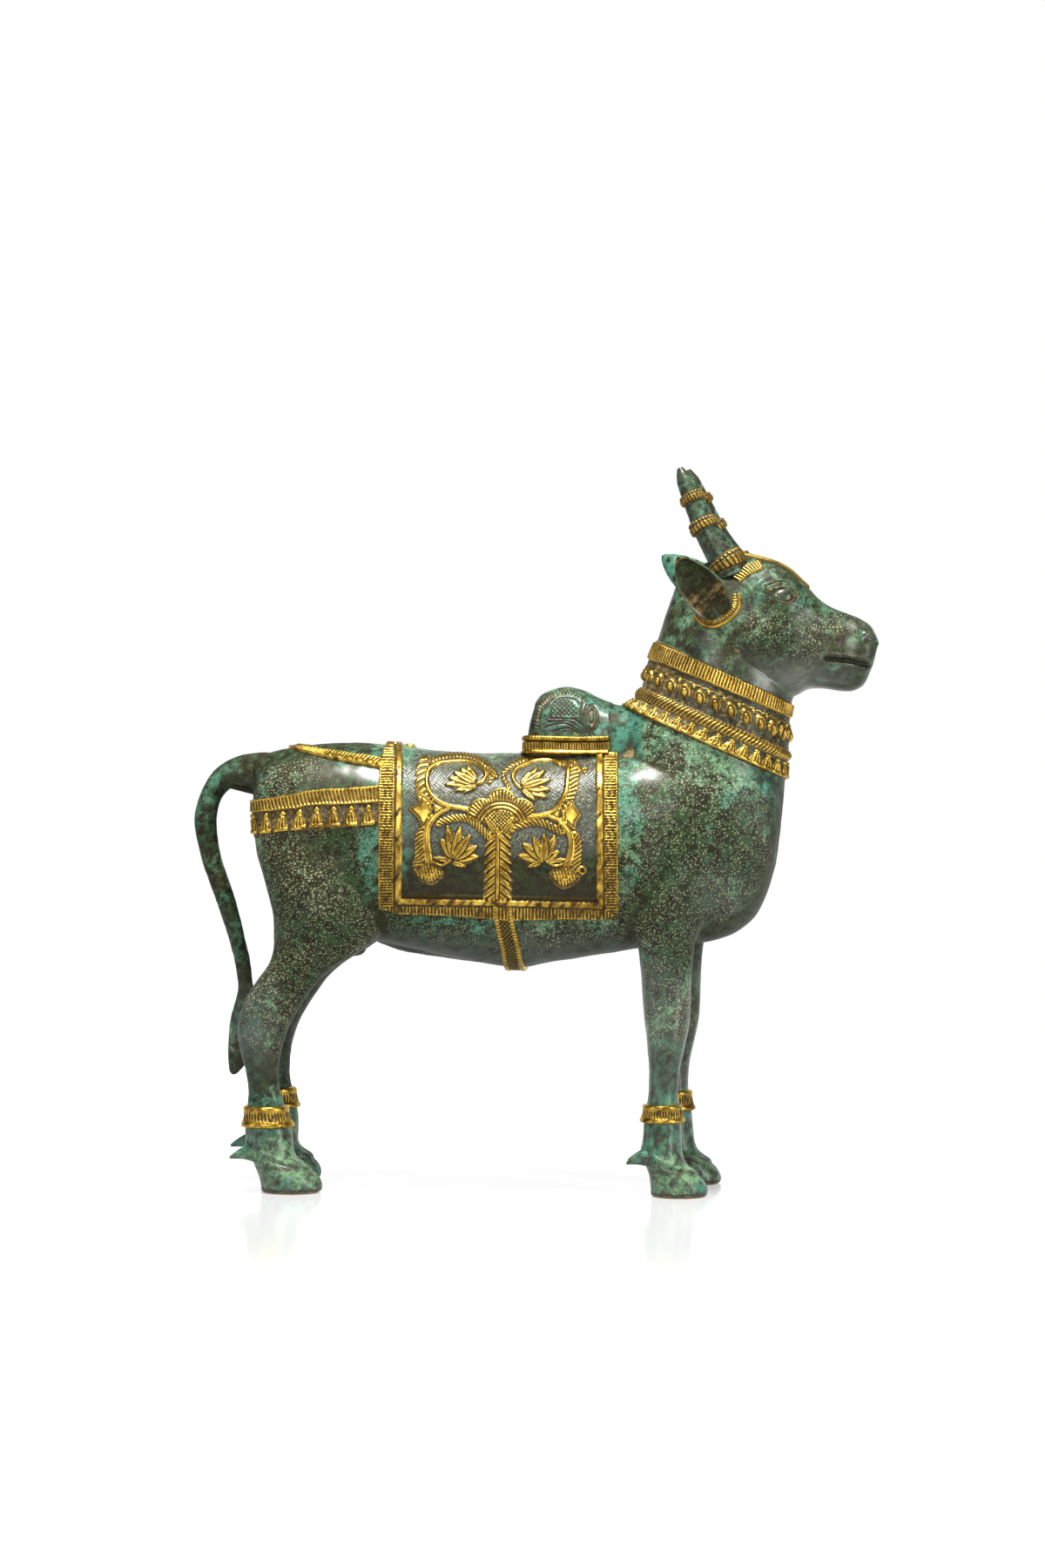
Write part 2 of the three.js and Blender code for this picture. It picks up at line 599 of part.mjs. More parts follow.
// A three.js geometry with a solid's vertices and faces.
function geometryOf(solid) {
  const { numProp, vertProperties, triVerts } = solid.getMesh();
  const geometry = new THREE.BufferGeometry();
  const positions = Array.from({ length: vertProperties.length / numProp }, (_, i) =>
    [...vertProperties.slice(i * numProp, i * numProp + 3)],
  );
  geometry.setAttribute("position", new THREE.Float32BufferAttribute(positions.flat(), 3));
  geometry.setIndex([...triVerts]);
  geometry.computeVertexNormals();
  return geometry;
}

const bull = new THREE.Mesh(
  geometryOf(casting()),
  new THREE.MeshStandardMaterial({ color: PATINA, roughness: 0.45, metalness: 0.7 }),
);
bull.name = "nandi_statue";

const statue = new THREE.Group();
statue.add(bull);

export default statue;
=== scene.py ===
"""A standing humped bull (nandi) cast in brass, with a verdigris patina and gilded trappings.

The statue is worked out in millimetres: +X towards the muzzle, +Y to the bull's left, +Z up, with the origin
on the ground under the middle. A form is a list of sections, and surfaces are grids of points from numpy.
"""
import math

import bpy
import numpy as np
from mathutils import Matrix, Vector


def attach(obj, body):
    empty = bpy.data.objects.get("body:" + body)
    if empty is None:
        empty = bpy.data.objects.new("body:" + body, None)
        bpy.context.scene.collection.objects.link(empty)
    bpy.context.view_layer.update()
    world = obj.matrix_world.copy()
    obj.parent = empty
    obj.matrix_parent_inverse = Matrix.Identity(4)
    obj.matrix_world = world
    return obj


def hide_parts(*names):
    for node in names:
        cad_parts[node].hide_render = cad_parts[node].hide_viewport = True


bl_info = {
    "name": "Nandi statue",
    "version": (1, 0, 0),
    "blender": (4, 5, 0),
    "location": "3D View > Sidebar > Nandi",
    "description": "Builds a standing brass bull with a green patina and gilded trappings",
    "category": "Add Mesh",
}

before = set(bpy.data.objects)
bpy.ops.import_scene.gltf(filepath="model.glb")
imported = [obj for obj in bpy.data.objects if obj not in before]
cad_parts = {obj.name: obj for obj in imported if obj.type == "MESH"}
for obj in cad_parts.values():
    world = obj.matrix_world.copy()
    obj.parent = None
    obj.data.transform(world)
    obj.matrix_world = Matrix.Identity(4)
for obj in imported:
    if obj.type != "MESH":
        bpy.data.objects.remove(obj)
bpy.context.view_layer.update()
MM = 0.001
NODE = "nandi_statue"

# Each section runs across its form between two points of the side view: x1, z1, x2, z2 and its half width.
TRUNK = [
    [-153.5, 228, -153.5, 202, 13],
    [-151, 236, -151, 186, 27],
    [-144, 240, -144, 166, 37],
    [-128, 243, -128, 150, 44.5],
    [-105, 244.8, -105, 140.5, 47.5],
    [-80, 243.6, -80, 134.5, 49.5],
    [-55, 239.8, -55, 129, 51.5],
    [-30, 238.2, -30, 124.2, 52.5],
    [-8, 238.2, -8, 121.2, 53],
    [12, 238.5, 12, 124.8, 52.5],
    [35, 240, 35, 128.3, 51.5],
    [58, 243, 58, 132, 50.5],
    [80, 246, 80, 134, 48.5],
    [98, 247, 98, 136.3, 45],
    [113, 245, 113, 142, 40],
    [124, 240, 124, 153.5, 33],
    [132, 231, 132, 175, 24],
    [135.4, 218, 135.4, 198, 12],
]
HUMP = [
    [-3.6, 238, -2, 222, 12],
    [-3, 244, -1.5, 222, 18],
    [-1, 258, 0, 222, 21.5],
    [3, 269, 3.5, 222, 23],
    [10, 273.2, 10, 222, 24],
    [19, 274.8, 19, 222, 24.5],
    [29, 272.4, 29, 222, 24],
    [38, 268, 38, 222, 24],
    [48, 265.2, 48, 222, 25],
    [62, 268, 62, 222, 24],
]
NECK = [
    [46, 205, 129, 170, 36],
    [45, 238, 135, 197, 40.5],
    [47, 260, 137.4, 219, 38.5],
    [56, 268.5, 138.6, 234, 34.5],
    [60.2, 275.5, 139.2, 241, 32],
    [63.6, 289.5, 139.8, 257.5, 29],
    [67.8, 300, 141.2, 265.5, 27.6],
    [72.8, 315, 142, 274, 25.5],
    [78, 330, 134, 290, 22],
]
HEAD = [
    [79, 326, 86, 296, 15],
    [86, 338, 92, 286, 21],
    [97, 344, 103, 276, 24.5],
    [112, 347.3, 116, 267, 26],
    [126, 344.8, 131, 267, 25.5],
    [138, 340.2, 143, 270, 23.4],
    [148, 331.5, 151, 273.8, 20],
    [159, 320.8, 160, 273.8, 16.4],
    [170, 315.5, 169, 272.6, 15],
    [178.8, 312, 175.4, 273, 15.2],
    [185.2, 307, 181, 276.8, 13.4],
    [188.6, 299.5, 185.6, 287, 8.5],
]
HIND_LEG = [
    [-112, 226, -140, 226, 6],
    [-97, 212, -149.2, 214, 12.5],
    [-86, 190, -149.8, 190, 17],
    [-79.5, 166, -143.8, 167, 19.5],
    [-79, 150, -139.8, 151, 19.5],
    [-82.5, 139, -139.4, 140, 18],
    [-92, 131, -139.6, 132, 16.4],
    [-105, 123, -142.2, 124, 15],
    [-115, 114.5, -148.3, 115.5, 14],
    [-121.5, 106, -154.2, 106.5, 13.2],
    [-127.5, 97, -158, 97, 12.5],
    [-132, 88, -159.3, 88, 11.6],
    [-135.3, 77.5, -158, 77.5, 10.6],
    [-136.8, 66, -154.9, 66, 9.8],
    [-136.5, 56, -153.4, 56, 9.5],
    [-133.4, 46, -154.2, 46, 10.2],
    [-130, 35, -155.2, 35, 11],
    [-129, 27, -154.4, 27, 11.3],
    [-127.4, 20, -152.6, 19.5, 11.8],
    [-120.5, 14.5, -149.6, 14, 12.8],
    [-114.8, 8.5, -147.6, 8.5, 13.7],
    [-113, 3.5, -146.4, 3.5, 14],
    [-113.8, 0, -146, 0, 13.4],
]
FORE_LEG = [
    [98, 218, 64, 218, 6],
    [109, 200, 53, 200, 13.5],
    [108.5, 180, 50, 180, 17.5],
    [102, 162, 51, 162, 18.3],
    [95, 148, 53.6, 148, 17.2],
    [90, 136, 58.6, 136, 15.6],
    [88.2, 122, 60.4, 122, 14],
    [87.4, 106, 61.4, 106, 12.8],
    [86.6, 93, 62.6, 93, 12.2],
    [84.6, 82.5, 63.8, 82.5, 11.5],
    [82.2, 72, 64.6, 72, 10.4],
    [80.8, 62, 64.7, 62, 9.6],
    [80.6, 53, 64.2, 53, 9.5],
    [81.8, 44, 62.4, 44, 10.2],
    [82.3, 34, 61.6, 34, 10.8],
    [82.8, 24.5, 61.2, 24.5, 11.2],
    [84.8, 18.5, 62.8, 17.5, 11.7],
    [91, 13, 64.6, 12.5, 12.8],
    [95.6, 7, 65.6, 7, 13.6],
    [96.8, 3, 65.8, 3, 13.8],
    [96, 0, 66, 0, 13.2],
]
TAIL = [
    [-146, 239.5, -146, 214, 11],
    [-154, 239.4, -154.5, 218, 9.5],
    [-163, 237.8, -161, 220.3, 8],
    [-172, 234, -167.5, 220, 7],
    [-179.5, 227.5, -172.5, 215.5, 6.4],
    [-185, 217.5, -175.3, 209.5, 6],
    [-188.9, 203, -176.4, 202, 5.8],
    [-186.6, 187, -175.4, 188, 5.4],
    [-181.6, 170.5, -171, 173, 5],
    [-175.8, 155, -165.6, 157, 4.6],
    [-170.6, 139.5, -161.6, 141, 4.3],
    [-166.6, 124.5, -158, 125.5, 4.1],
    [-164.4, 110.5, -155.8, 110.5, 4],
    [-166.2, 101, -153.4, 101, 5],
    [-169, 90, -152, 90, 5.8],
    [-170, 78, -155, 77, 5.4],
    [-170, 66, -160.5, 66.5, 3.6],
    [-168.4, 60.3, -165.6, 60.8, 1.2],
]
SHEATH = [
    [-92, 142, -92, 137.5, 4],
    [-84, 142, -82, 133.2, 8],
    [-74, 140, -71, 129.6, 8.5],
    [-60, 140, -58, 127.6, 8],
    [-44, 138, -44, 125.6, 7],
    [-30, 136, -30, 123.6, 4],
]
SCROTUM = [
    [-112, 150, -108, 142, 9],
    [-112, 143, -99, 142, 11],
    [-109, 135, -93.5, 135, 12],
    [-106, 129.5, -93, 130, 10],
    [-102, 127, -96, 127.3, 5],
]
LEG_SPREAD = 30.0
SHANK_HEIGHT = 48.0
# The near hind, far hind, near fore and far fore leg: sections, side, how far forward the foot, shank and top
# are set, the bangle's heights, and the height and reach of the dewclaws.
LEGS = [
    (HIND_LEG, -1, (0, 0, 0), (35.0, 47.6), (22.5, -162.6)),
    (HIND_LEG, 1, (-10, -3.5, -2), (40.0, 52.4), (22.5, -162.6)),
    (FORE_LEG, -1, (0, 0, 0), (39.4, 50.0), (21.5, 53.0)),
    (FORE_LEG, 1, (5.5, 3.5, 2.5), (40.3, 52.4), (21.5, 53.0)),
]
# A horn's middle line and radius, x, y, z, r, on the left side of the head.
HORN = [
    [109, 12.5, 335, 9.6],
    [106, 12.5, 342.5, 8.7],
    [102, 12, 348.4, 8],
    [98, 11, 355, 7.3],
    [93.8, 9.8, 362.8, 6.6],
    [90.5, 8.6, 370.4, 6],
    [87.6, 7.4, 377.3, 5.5],
    [85.2, 6.6, 382.6, 5],
    [82.6, 5.8, 389, 4],
    [80.6, 5.2, 394.4, 1.7],
]
FAR_HORN_FORWARD = 3.8
# Each ear: base, tip, the direction across its opening, and its half width.
EARS = [
    ([105.0, -25.5, 311], [80.8, -45, 343], [0.75, -0.2, 0.5], 11.6),
    ([103, 22, 324], [69, 42, 349.6], [0.62, 0.1, 0.7], 10.8),
]
TRUNK_POWER = 2.35
HUMP_POWER = 2.3
HEAD_POWER = 2.2
# Where the camera stands, and the depths at which the near cloth and the near hump are drawn as it sees them.
EYE_POINT = (153.9, -1830.0, 222.0)
NEAR_CLOTH_Y = -49.0
NEAR_HUMP_Y = -25.0

# How far each round of evening goes towards the neighbours' mean, and back.
PULL = 0.5
PUSH = 0.53
# Voxels of the two remeshed skins, and the distance between two rays round the body.
BODY_VOXEL = 1.47
HEAD_VOXEL = 0.66
RAY_STEP = 0.42
# How far a relief's edge is sunk, how deep ornament is cut, and how high the cloth's plain field stands.
EDGE_SINK = 1.6
CUT_DEPTH = 0.7
FIELD_RISE = 0.75
# Repeats round the neck and round each half of a bangle, and the collars' places in the neck's list.
BEADS = 26
TASSELS = 32
COLLAR_TICKS = 124
COLLAR_TWISTS = 104
COLLAR_PLACES = (2.12, 6.12)
BANGLE_TICKS = 21
# Lengths along the rump strap from tick to tick and from tassel to tassel.
STRAP_TICK = 2.05
STRAP_TASSEL = 9.5
# Where the plain lines at the cloth's back and front meet the bands outside them.
CLOTH_LINES = (-70.4, 41.4)
# The six finishes, three to each colour attribute. The second is dirt together with painted shade: it darkens
# hollows, creases and cut lines as well as real dirt.
FINISH = ("gilt", "dirt", "teal", "speck", "wax", "smoke")


# Shapes

def row_at(rows, places):
    """Rows between a list's own, on a Catmull-Rom curve through each column."""
    rows = np.asarray(rows, float)
    places = np.asarray(places, float)
    last = len(rows) - 1
    i = np.clip(np.floor(places).astype(int), 0, last - 1)
    t = (places - i)[..., None]
    a, b = rows[np.maximum(i - 1, 0)], rows[i]
    c, d = rows[i + 1], rows[np.minimum(i + 2, last)]
    return b + 0.5 * t * (c - a + t * (2 * a - 5 * b + 4 * c - d + t * (3 * (b - c) + d - a)))


def smooth_path(points, steps=6):
    """A path with `steps` points to each of its legs, on a Catmull-Rom curve."""
    return row_at(points, np.linspace(0, len(points) - 1, steps * (len(points) - 1) + 1))


def stacked(*parts):
    """Coordinates spread over one another's shape, as one array with a last axis for them."""
    return np.stack(np.broadcast_arrays(*parts), -1)


def unit(vectors):
    """Vectors brought to length 1."""
    return vectors / np.maximum(np.linalg.norm(vectors, axis=-1, keepdims=True), 1e-9)


def signed_power(value, power):
    """A power of a value's size, with the value's own sign."""
    return np.sign(value) * np.abs(value) ** power


def section(rows, angle, power=2.0, y=0.0):
    """Points at angles round sections, each a superellipse of the given power."""
    x1, z1, x2, z2, half = np.moveaxis(rows, -1, 0)
    along = signed_power(np.cos(angle), 2 / power)
    across = signed_power(np.sin(angle), 2 / power) * half
    return stacked((x1 + x2) / 2 + along * (x1 - x2) / 2, y + across, (z1 + z2) / 2 + along * (z1 - z2) / 2)
def quads(rows, columns, wrap=False):
    """The faces of a grid of points; a wrapped grid joins its last column to its first."""
    row = np.arange(rows - 1)[:, None] * columns
    here = np.arange(columns if wrap else columns - 1)[None, :]
    after = (here + 1) % columns
    return stacked(row + here, row + after, row + columns + after, row + columns + here).reshape(-1, 4)
def fan(loop, centre):
    """Triangles that close a loop of points on one point."""
    return np.stack([loop, np.roll(loop, -1), np.full(len(loop), centre)], -1)


def closed_loft(rings):
    """A closed skin over rings of points, each end closed on its ring's middle: points, quads, triangles."""
    rows, columns = rings.shape[:2]
    points = np.concatenate([rings.reshape(-1, 3), rings[:1].mean(1), rings[-1:].mean(1)])
    first = fan(np.arange(columns)[::-1], rows * columns)
    last = fan(np.arange(columns) + (rows - 1) * columns, rows * columns + 1)
    return points, quads(rows, columns, wrap=True)[:, ::-1], np.concatenate([first, last])[:, ::-1]
def triangles_of(four, three):
    """The faces as triangles, each quad cut in two."""
    return np.concatenate([four[:, [0, 1, 2]], four[:, [0, 2, 3]], three])
def outwards(points, four, three):
    """The faces turned so that the volume they enclose is positive."""
    a, b, c = np.moveaxis(points[triangles_of(four, three)], 1, 0)
    if np.einsum("ij,ij->", a, np.cross(b, c)) < 0:
        return four[:, ::-1], three[:, ::-1]
    return four, three


def joined(parts):
    """Several skins as one list of points and faces."""
    starts = np.cumsum([0] + [len(points) for points, _, _ in parts[:-1]])
    turned = [outwards(*part) for part in parts]
    points = np.concatenate([part[0] for part in parts])
    four = np.concatenate([faces[0] + start for faces, start in zip(turned, starts)])
    three = np.concatenate([faces[1] + start for faces, start in zip(turned, starts)])
    return points, four, three


def new_mesh(name, points, four, three):
    """A mesh object from points in millimetres and its four-sided and three-sided faces."""
    mesh = bpy.data.meshes.new(name)
    mesh.vertices.add(len(points))
    mesh.vertices.foreach_set("co", (np.asarray(points) * MM).astype(np.float32).ravel())
    corners = np.concatenate([four.ravel(), three.ravel()]).astype(np.int32)
    starts = np.concatenate([np.arange(len(four)) * 4, 4 * len(four) + np.arange(len(three)) * 3])
    mesh.loops.add(len(corners))
    mesh.loops.foreach_set("vertex_index", corners)
    mesh.polygons.add(len(starts))
    mesh.polygons.foreach_set("loop_start", starts.astype(np.int32))
    mesh.update(calc_edges=True)
    mesh.validate()
    mesh.shade_smooth()
    piece = bpy.data.objects.new(name, mesh)
    bpy.context.collection.objects.link(piece)
    return piece


def points_of(piece):
    """The piece's points in millimetres, after its modifiers."""
    mesh = piece.evaluated_get(bpy.context.evaluated_depsgraph_get()).data
    points = np.empty(3 * len(mesh.vertices), np.float32)
    mesh.vertices.foreach_get("co", points)
    return points.reshape(-1, 3).astype(float) / MM


def faces_of(piece):
    """The corners of a mesh of quads and triangles, after its modifiers."""
    mesh = piece.evaluated_get(bpy.context.evaluated_depsgraph_get()).data
    corners = np.empty(len(mesh.loops), np.int32)
    mesh.loops.foreach_get("vertex_index", corners)
    totals = np.empty(len(mesh.polygons), np.int32)
    mesh.polygons.foreach_get("loop_total", totals)
    starts = np.cumsum(totals) - totals
    four = corners[starts[totals == 4][:, None] + np.arange(4)]
    three = corners[starts[totals == 3][:, None] + np.arange(3)]
    return four, three


def drop(piece):
    """Removes a helper object and its mesh."""
    mesh = piece.data
    bpy.data.objects.remove(piece)
    bpy.data.meshes.remove(mesh)
def cast(points, rays, target):
    """Where rays from the points meet the named piece; a ray that meets nothing keeps its own point.

    A geometry nodes modifier on a cloud of loose points carries out all the rays at once.
    """
    shape = points.shape
    cloud = new_mesh("cloud", points.reshape(-1, 3), np.empty((0, 4), int), np.empty((0, 3), int))
    layer = cloud.data.attributes.new("ray", "FLOAT_VECTOR", "POINT")
    layer.data.foreach_set("vector", np.broadcast_to(rays, shape).astype(np.float32).ravel())
    tree = bpy.data.node_groups.new("cast", "GeometryNodeTree")
    tree.interface.new_socket("Geometry", in_out="INPUT", socket_type="NodeSocketGeometry")
    tree.interface.new_socket("Geometry", in_out="OUTPUT", socket_type="NodeSocketGeometry")
    start = tree.nodes.new("NodeGroupInput")
    end = tree.nodes.new("NodeGroupOutput")
    ray = tree.nodes.new("GeometryNodeInputNamedAttribute")
    ray.data_type = "FLOAT_VECTOR"
    ray.inputs["Name"].default_value = "ray"
    info = tree.nodes.new("GeometryNodeObjectInfo")
    info.transform_space = "RELATIVE"
    info.inputs["Object"].default_value = bpy.data.objects[target]
    meet = tree.nodes.new("GeometryNodeRaycast")
    meet.inputs["Ray Length"].default_value = 1.0
    place = tree.nodes.new("GeometryNodeSetPosition")
    for source, out, sink, socket in [
        (info, "Geometry", meet, "Target Geometry"),
        (ray, "Attribute", meet, "Ray Direction"),
        (start, "Geometry", place, "Geometry"),
        (meet, "Is Hit", place, "Selection"),
        (meet, "Hit Position", place, "Position"),
        (place, "Geometry", end, "Geometry"),
    ]:
        tree.links.new(source.outputs[out], sink.inputs[socket])
    modifier = cloud.modifiers.new("cast", "NODES")
    modifier.node_group = tree
    met = points_of(cloud).reshape(shape)
    drop(cloud)
    bpy.data.node_groups.remove(tree)
    return met


def normals_of(grid, wrap=False):
    """Unit normals of a grid of points, from its differences along both ways."""
    down = np.gradient(grid, axis=0)
    across = (np.roll(grid, -1, 1) - np.roll(grid, 1, 1)) / 2 if wrap else np.gradient(grid, axis=1)
    return unit(np.cross(across, down))
def vertex_normals(points, four, three):
    """Normals of a mesh's points, summed from its triangles."""
    tri = triangles_of(four, three)
    a, b, c = np.moveaxis(points[tri], 1, 0)
    face = np.cross(b - a, c - a)
    sums = [np.bincount(tri.ravel(), np.repeat(face[:, k], 3), len(points)) for k in range(3)]
    return unit(np.stack(sums, -1))
class Net:
    """The edges of a mesh, for averaging values over each point's neighbours."""

    def __init__(self, count, four, three):
        pairs = [four[:, [k, (k + 1) % 4]] for k in range(4)] + [three[:, [k, (k + 1) % 3]] for k in range(3)]
        pairs = np.unique(np.sort(np.concatenate(pairs), axis=1), axis=0)
        self.one, self.two = pairs.T
        self.count = count
        self.near = np.maximum(np.bincount(pairs.ravel(), minlength=count), 1)

    def mean(self, values):
        """The mean of each point's neighbours."""
        if values.ndim == 2:
            return np.stack([self.mean(column) for column in values.T], -1)
        total = np.bincount(self.one, values[self.two], self.count)
        return (total + np.bincount(self.two, values[self.one], self.count)) / self.near


def step(low, high, value):
    """A smooth step from 0 at `low` to 1 at `high`."""
    t = np.clip((value - low) / (high - low), 0, 1)
    return t * t * (3 - 2 * t)


def wavy(points, pitch, seed=0):
    """A smooth uneven field from -1 to 1: three products of sines with unlike lengths and directions."""
    x, y, z = np.moveaxis(np.asarray(points), -1, 0) * (2 * math.pi / pitch)
    s = seed * 1.7
    one = np.sin(x + 0.6 * y + s) * np.sin(0.8 * z - 0.5 * x + 1.3 * s)
    two = np.sin(1.7 * z + 0.9 * y - s) * np.sin(1.3 * x + 0.4 * z + 2.1)
    three = np.sin(2.3 * x - 1.9 * z + 1.1 * y + 0.7 * s)
    return (one + 0.7 * two + 0.4 * three) / 2.1


# Body forms

def leg_shift(rows, shifts, z):
    """How far forward a leg stands at a height, from its foot, shank and top."""
    foot, shank, top = shifts
    low = foot + (shank - foot) * z / SHANK_HEIGHT
    high = shank + (top - shank) * (z - SHANK_HEIGHT) / (rows[0][1] - SHANK_HEIGHT)
    return np.where(z < SHANK_HEIGHT, low, high)


def peak(value, middle, width):
    """A bell curve: 1 where the value is at its middle, and next to nothing two widths away."""
    return np.exp(-((value - middle) / width) ** 2)


def between(value, start, full, ebb, end):
    """A soft window: 0 up to `start`, 1 from `full` to `ebb`, and 0 from `end` on."""
    return step(start, full, value) * step(end, ebb, value)


def leg_rings(leg, places, sides):
    """Rings of a leg: ellipses between its front and back outlines, moved forward by its stance."""
    rows, side, shifts, _, _ = leg
    angle = np.linspace(0, 2 * math.pi, sides, endpoint=False)
    rings = section(row_at(rows, places)[:, None], angle[None], 2.0, side * LEG_SPREAD)
    rings[..., 0] += leg_shift(rows, shifts, rings[..., 2])
    return rings
def form(rows, count, sides, power=2.0, first=0.0, last=None):
    """A form's skin: rings at even places of its list of sections."""
    places = np.linspace(first, len(rows) - 1 if last is None else last, count)
    angle = np.linspace(0, 2 * math.pi, sides, endpoint=False)
    return closed_loft(section(row_at(rows, places)[:, None], angle[None], power))
def place_at(rows, height, samples=400):
    """The place in a leg's list where its middle stands at a height."""
    places = np.linspace(0, len(rows) - 1, samples)
    middle = row_at(rows, places)[:, [1, 3]].mean(1)
    return np.interp(-height, -middle, places)
def remeshed(name, parts, voxel):
    """One skin round several closed forms, by voxels: points and faces."""
    blank = new_mesh(name, *joined(parts))
    remesh = blank.modifiers.new("voxels", "REMESH")
    remesh.mode = "VOXEL"
    remesh.voxel_size = voxel * MM
    points = points_of(blank)
    four, three = faces_of(blank)
    drop(blank)
    return points, four, three


def evened(points, net, rounds):
    """The skin evened without shrinking: points go to their neighbours' mean and back by a little more."""
    for _ in range(rounds):
        points = points + PULL * (net.mean(points) - points)
        points = points - PUSH * (net.mean(points) - points)
    return points


def depth_below(points, four, three, net):
    """How far each point lies below the mean of its neighbours, along the skin's normal."""
    return np.einsum("ij,ij->i", net.mean(points) - points, vertex_normals(points, four, three))


def softened(points, four, three, net, rounds, fillets, reach):
    """Evens the skin, then fills its inner corners.

    Where the mean of a point's neighbours lies outside the skin the corner is hollow, and further moves there
    draw a fillet.
    """
    points = evened(points, net, rounds)
    hollow = step(0.02, 0.16, depth_below(points, four, three, net))
    for _ in range(reach):
        hollow = np.maximum(hollow, 0.9 * net.mean(hollow))
    for _ in range(fillets):
        points = points + PULL * hollow[:, None] * (net.mean(points) - points)
    return evened(points, net, 3)
def hollowness(points, four, three, net, spread):
    """How hollow the skin is at each point, from 0 to 1: where dirt gathers and where shade is painted into
    the colour.
    """
    depth = depth_below(points, four, three, net)
    for _ in range(spread):
        depth = net.mean(depth)
    return step(0.004, 0.05, depth)
def path_distance(x, z, path):
    """Distance from points to a path in side view, how far along it the nearest place is, and which side."""
    path = np.asarray(path, float)
    best = np.full(x.shape, 1e9)
    along = np.zeros(x.shape)
    side = np.zeros(x.shape)
    gone = 0.0
    for (x1, z1), (x2, z2) in zip(path[:-1], path[1:]):
        dx, dz = x2 - x1, z2 - z1
        length = math.hypot(dx, dz)
        t = np.clip(((x - x1) * dx + (z - z1) * dz) / length ** 2, 0, 1)
        off = np.hypot(x - x1 - t * dx, z - z1 - t * dz)
        nearer = off < best
        best = np.where(nearer, off, best)
        along = np.where(nearer, gone + t * length, along)
        side = np.where(nearer, np.sign(dx * (z - z1) - dz * (x - x1)), side)
        gone += length
    return best, along, side


def line_peak(x, z, path, width, steps):
    """1 on a smoothed path in side view, and next to nothing two widths away from it."""
    return peak(path_distance(x, z, smooth_path(path, steps))[0], 0, width)


def spot(points, x, z, rx, rz):
    """A soft round patch in side view: 1 at its middle, fading over its reaches along x and z."""
    return np.exp(-((points[..., 0] - x) / rx) ** 2 - ((points[..., 2] - z) / rz) ** 2)
def finish(piece, **amounts):
    """Gives a piece the shared material and ties it to the statue.

    How much of each finish every point has is stored in two three-part colour attributes.
    """
    count = len(piece.data.vertices)
    table = np.ones((2, count, 4), np.float32)
    for k, name in enumerate(FINISH):
        table[k // 3, :, k % 3] = np.clip(np.broadcast_to(np.ravel(amounts.get(name, 0.0)), count), 0, 1)
    for layer, values in zip(("metal", "patina"), table):
        piece.data.attributes.new(layer, "FLOAT_COLOR", "POINT").data.foreach_set("color", values.ravel())
    piece.data.materials.append(bpy.data.materials["nandi_finish"])
    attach(piece, "root")
    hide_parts(NODE)


def build_skin(name, parts, voxel, evening, spread, carvings, patina):
    """A piece that is one remeshed skin round closed forms, softened and carved along its normals."""
    points, four, three = remeshed(name + "_blank", parts, voxel)
    net = Net(len(points), four, three)
    points = softened(points, four, three, net, *evening)
    normal = vertex_normals(points, four, three)
    for carving in carvings:
        points = points + normal * carving(points)[:, None]
    hollow = hollowness(points, four, three, net, spread)
    finish(new_mesh(name, points, four, three), **patina(points, hollow))


def body_patina(points, hollow):
    """The amounts of each finish over the body, by place: specks on the flanks, turquoise low on the legs."""
    x, y, z = points.T
    mottle = wavy(points, 46, 3)
    low = step(64, 34, z)
    rump = spot(points, -92, 226, 26, 9)
    shoulder = spot(points, 70, 214, 16, 16)
    flank = step(20, 36, np.abs(y))
    belly = step(150, 132, z) * step(-86, -70, x) * step(58, 44, x)
    cloth_edge = step(9, 3, np.abs(x + 84)) * step(150, 165, z)
    cloth_edge = cloth_edge + step(15, 4, np.abs(x - 53)) * step(160, 176, z)
    under_cloth = step(154, 148, z) * step(134, 142, z) * step(-70, -60, x) * step(60, 30, x)
    shins = step(135, 110, z) * step(40, 50, x)
    chest = spot(points, 118, 232, 22, 18) + 0.6 * spot(points, 84, 246, 26, 10)
    teal = 0.12 + 0.22 * mottle + 0.7 * low + 0.36 * cloth_edge + 0.22 * under_cloth + 0.4 * chest
    teal = teal + 0.12 * step(-150, -158, x) + 0.3 * spot(points, -146, 180, 7, 34) - 0.45 * belly
    teal = teal - 0.3 * spot(points, -110, 150, 26, 34) - 0.2 * spot(points, 70, 170, 22, 30)
    teal = teal + 0.14 * shins + 0.03 * flank
    speck = (0.3 + 0.6 * flank) * step(56, 92, z) + 0.25 * low
    speck = speck * (1 - 0.75 * rump - 0.35 * spot(points, -120, 190, 30, 24)) * step(0.9, 0.2, hollow)
    speck = speck - 0.25 * spot(points, -30, 132, 60, 10)
    wax = 0.9 * rump + 0.7 * shoulder + 0.4 * low + 0.45 * shins + 0.3 * chest + 0.25 * wavy(points, 70, 5)
    smoke = 0.8 * spot(points, 66, 88, 18, 40) + 0.6 * spot(points, 104, 163, 16, 14)
    smoke = smoke + 0.7 * spot(points, -150, 88, 18, 26)
    smoke = smoke + 0.55 * belly + 0.2 * step(0.1, 0.7, wavy(points, 60, 8))
    smoke = smoke + 0.4 * spot(points, 126, 205, 10, 26)
    # Dirt and painted shade: darker in the skin's hollows and creases, with real dirt on the belly and in
    # patches.
    dirt = 0.62 * hollow + 0.35 * belly + 0.35 * step(0.35, 0.9, wavy(points, 30, 11))
    dirt = dirt + 0.4 * spot(points, -148, 238, 9, 7) + 0.25 * spot(points, 56, 250, 10, 12)
    return dict(dirt=dirt, teal=teal, speck=speck, wax=wax, smoke=smoke)
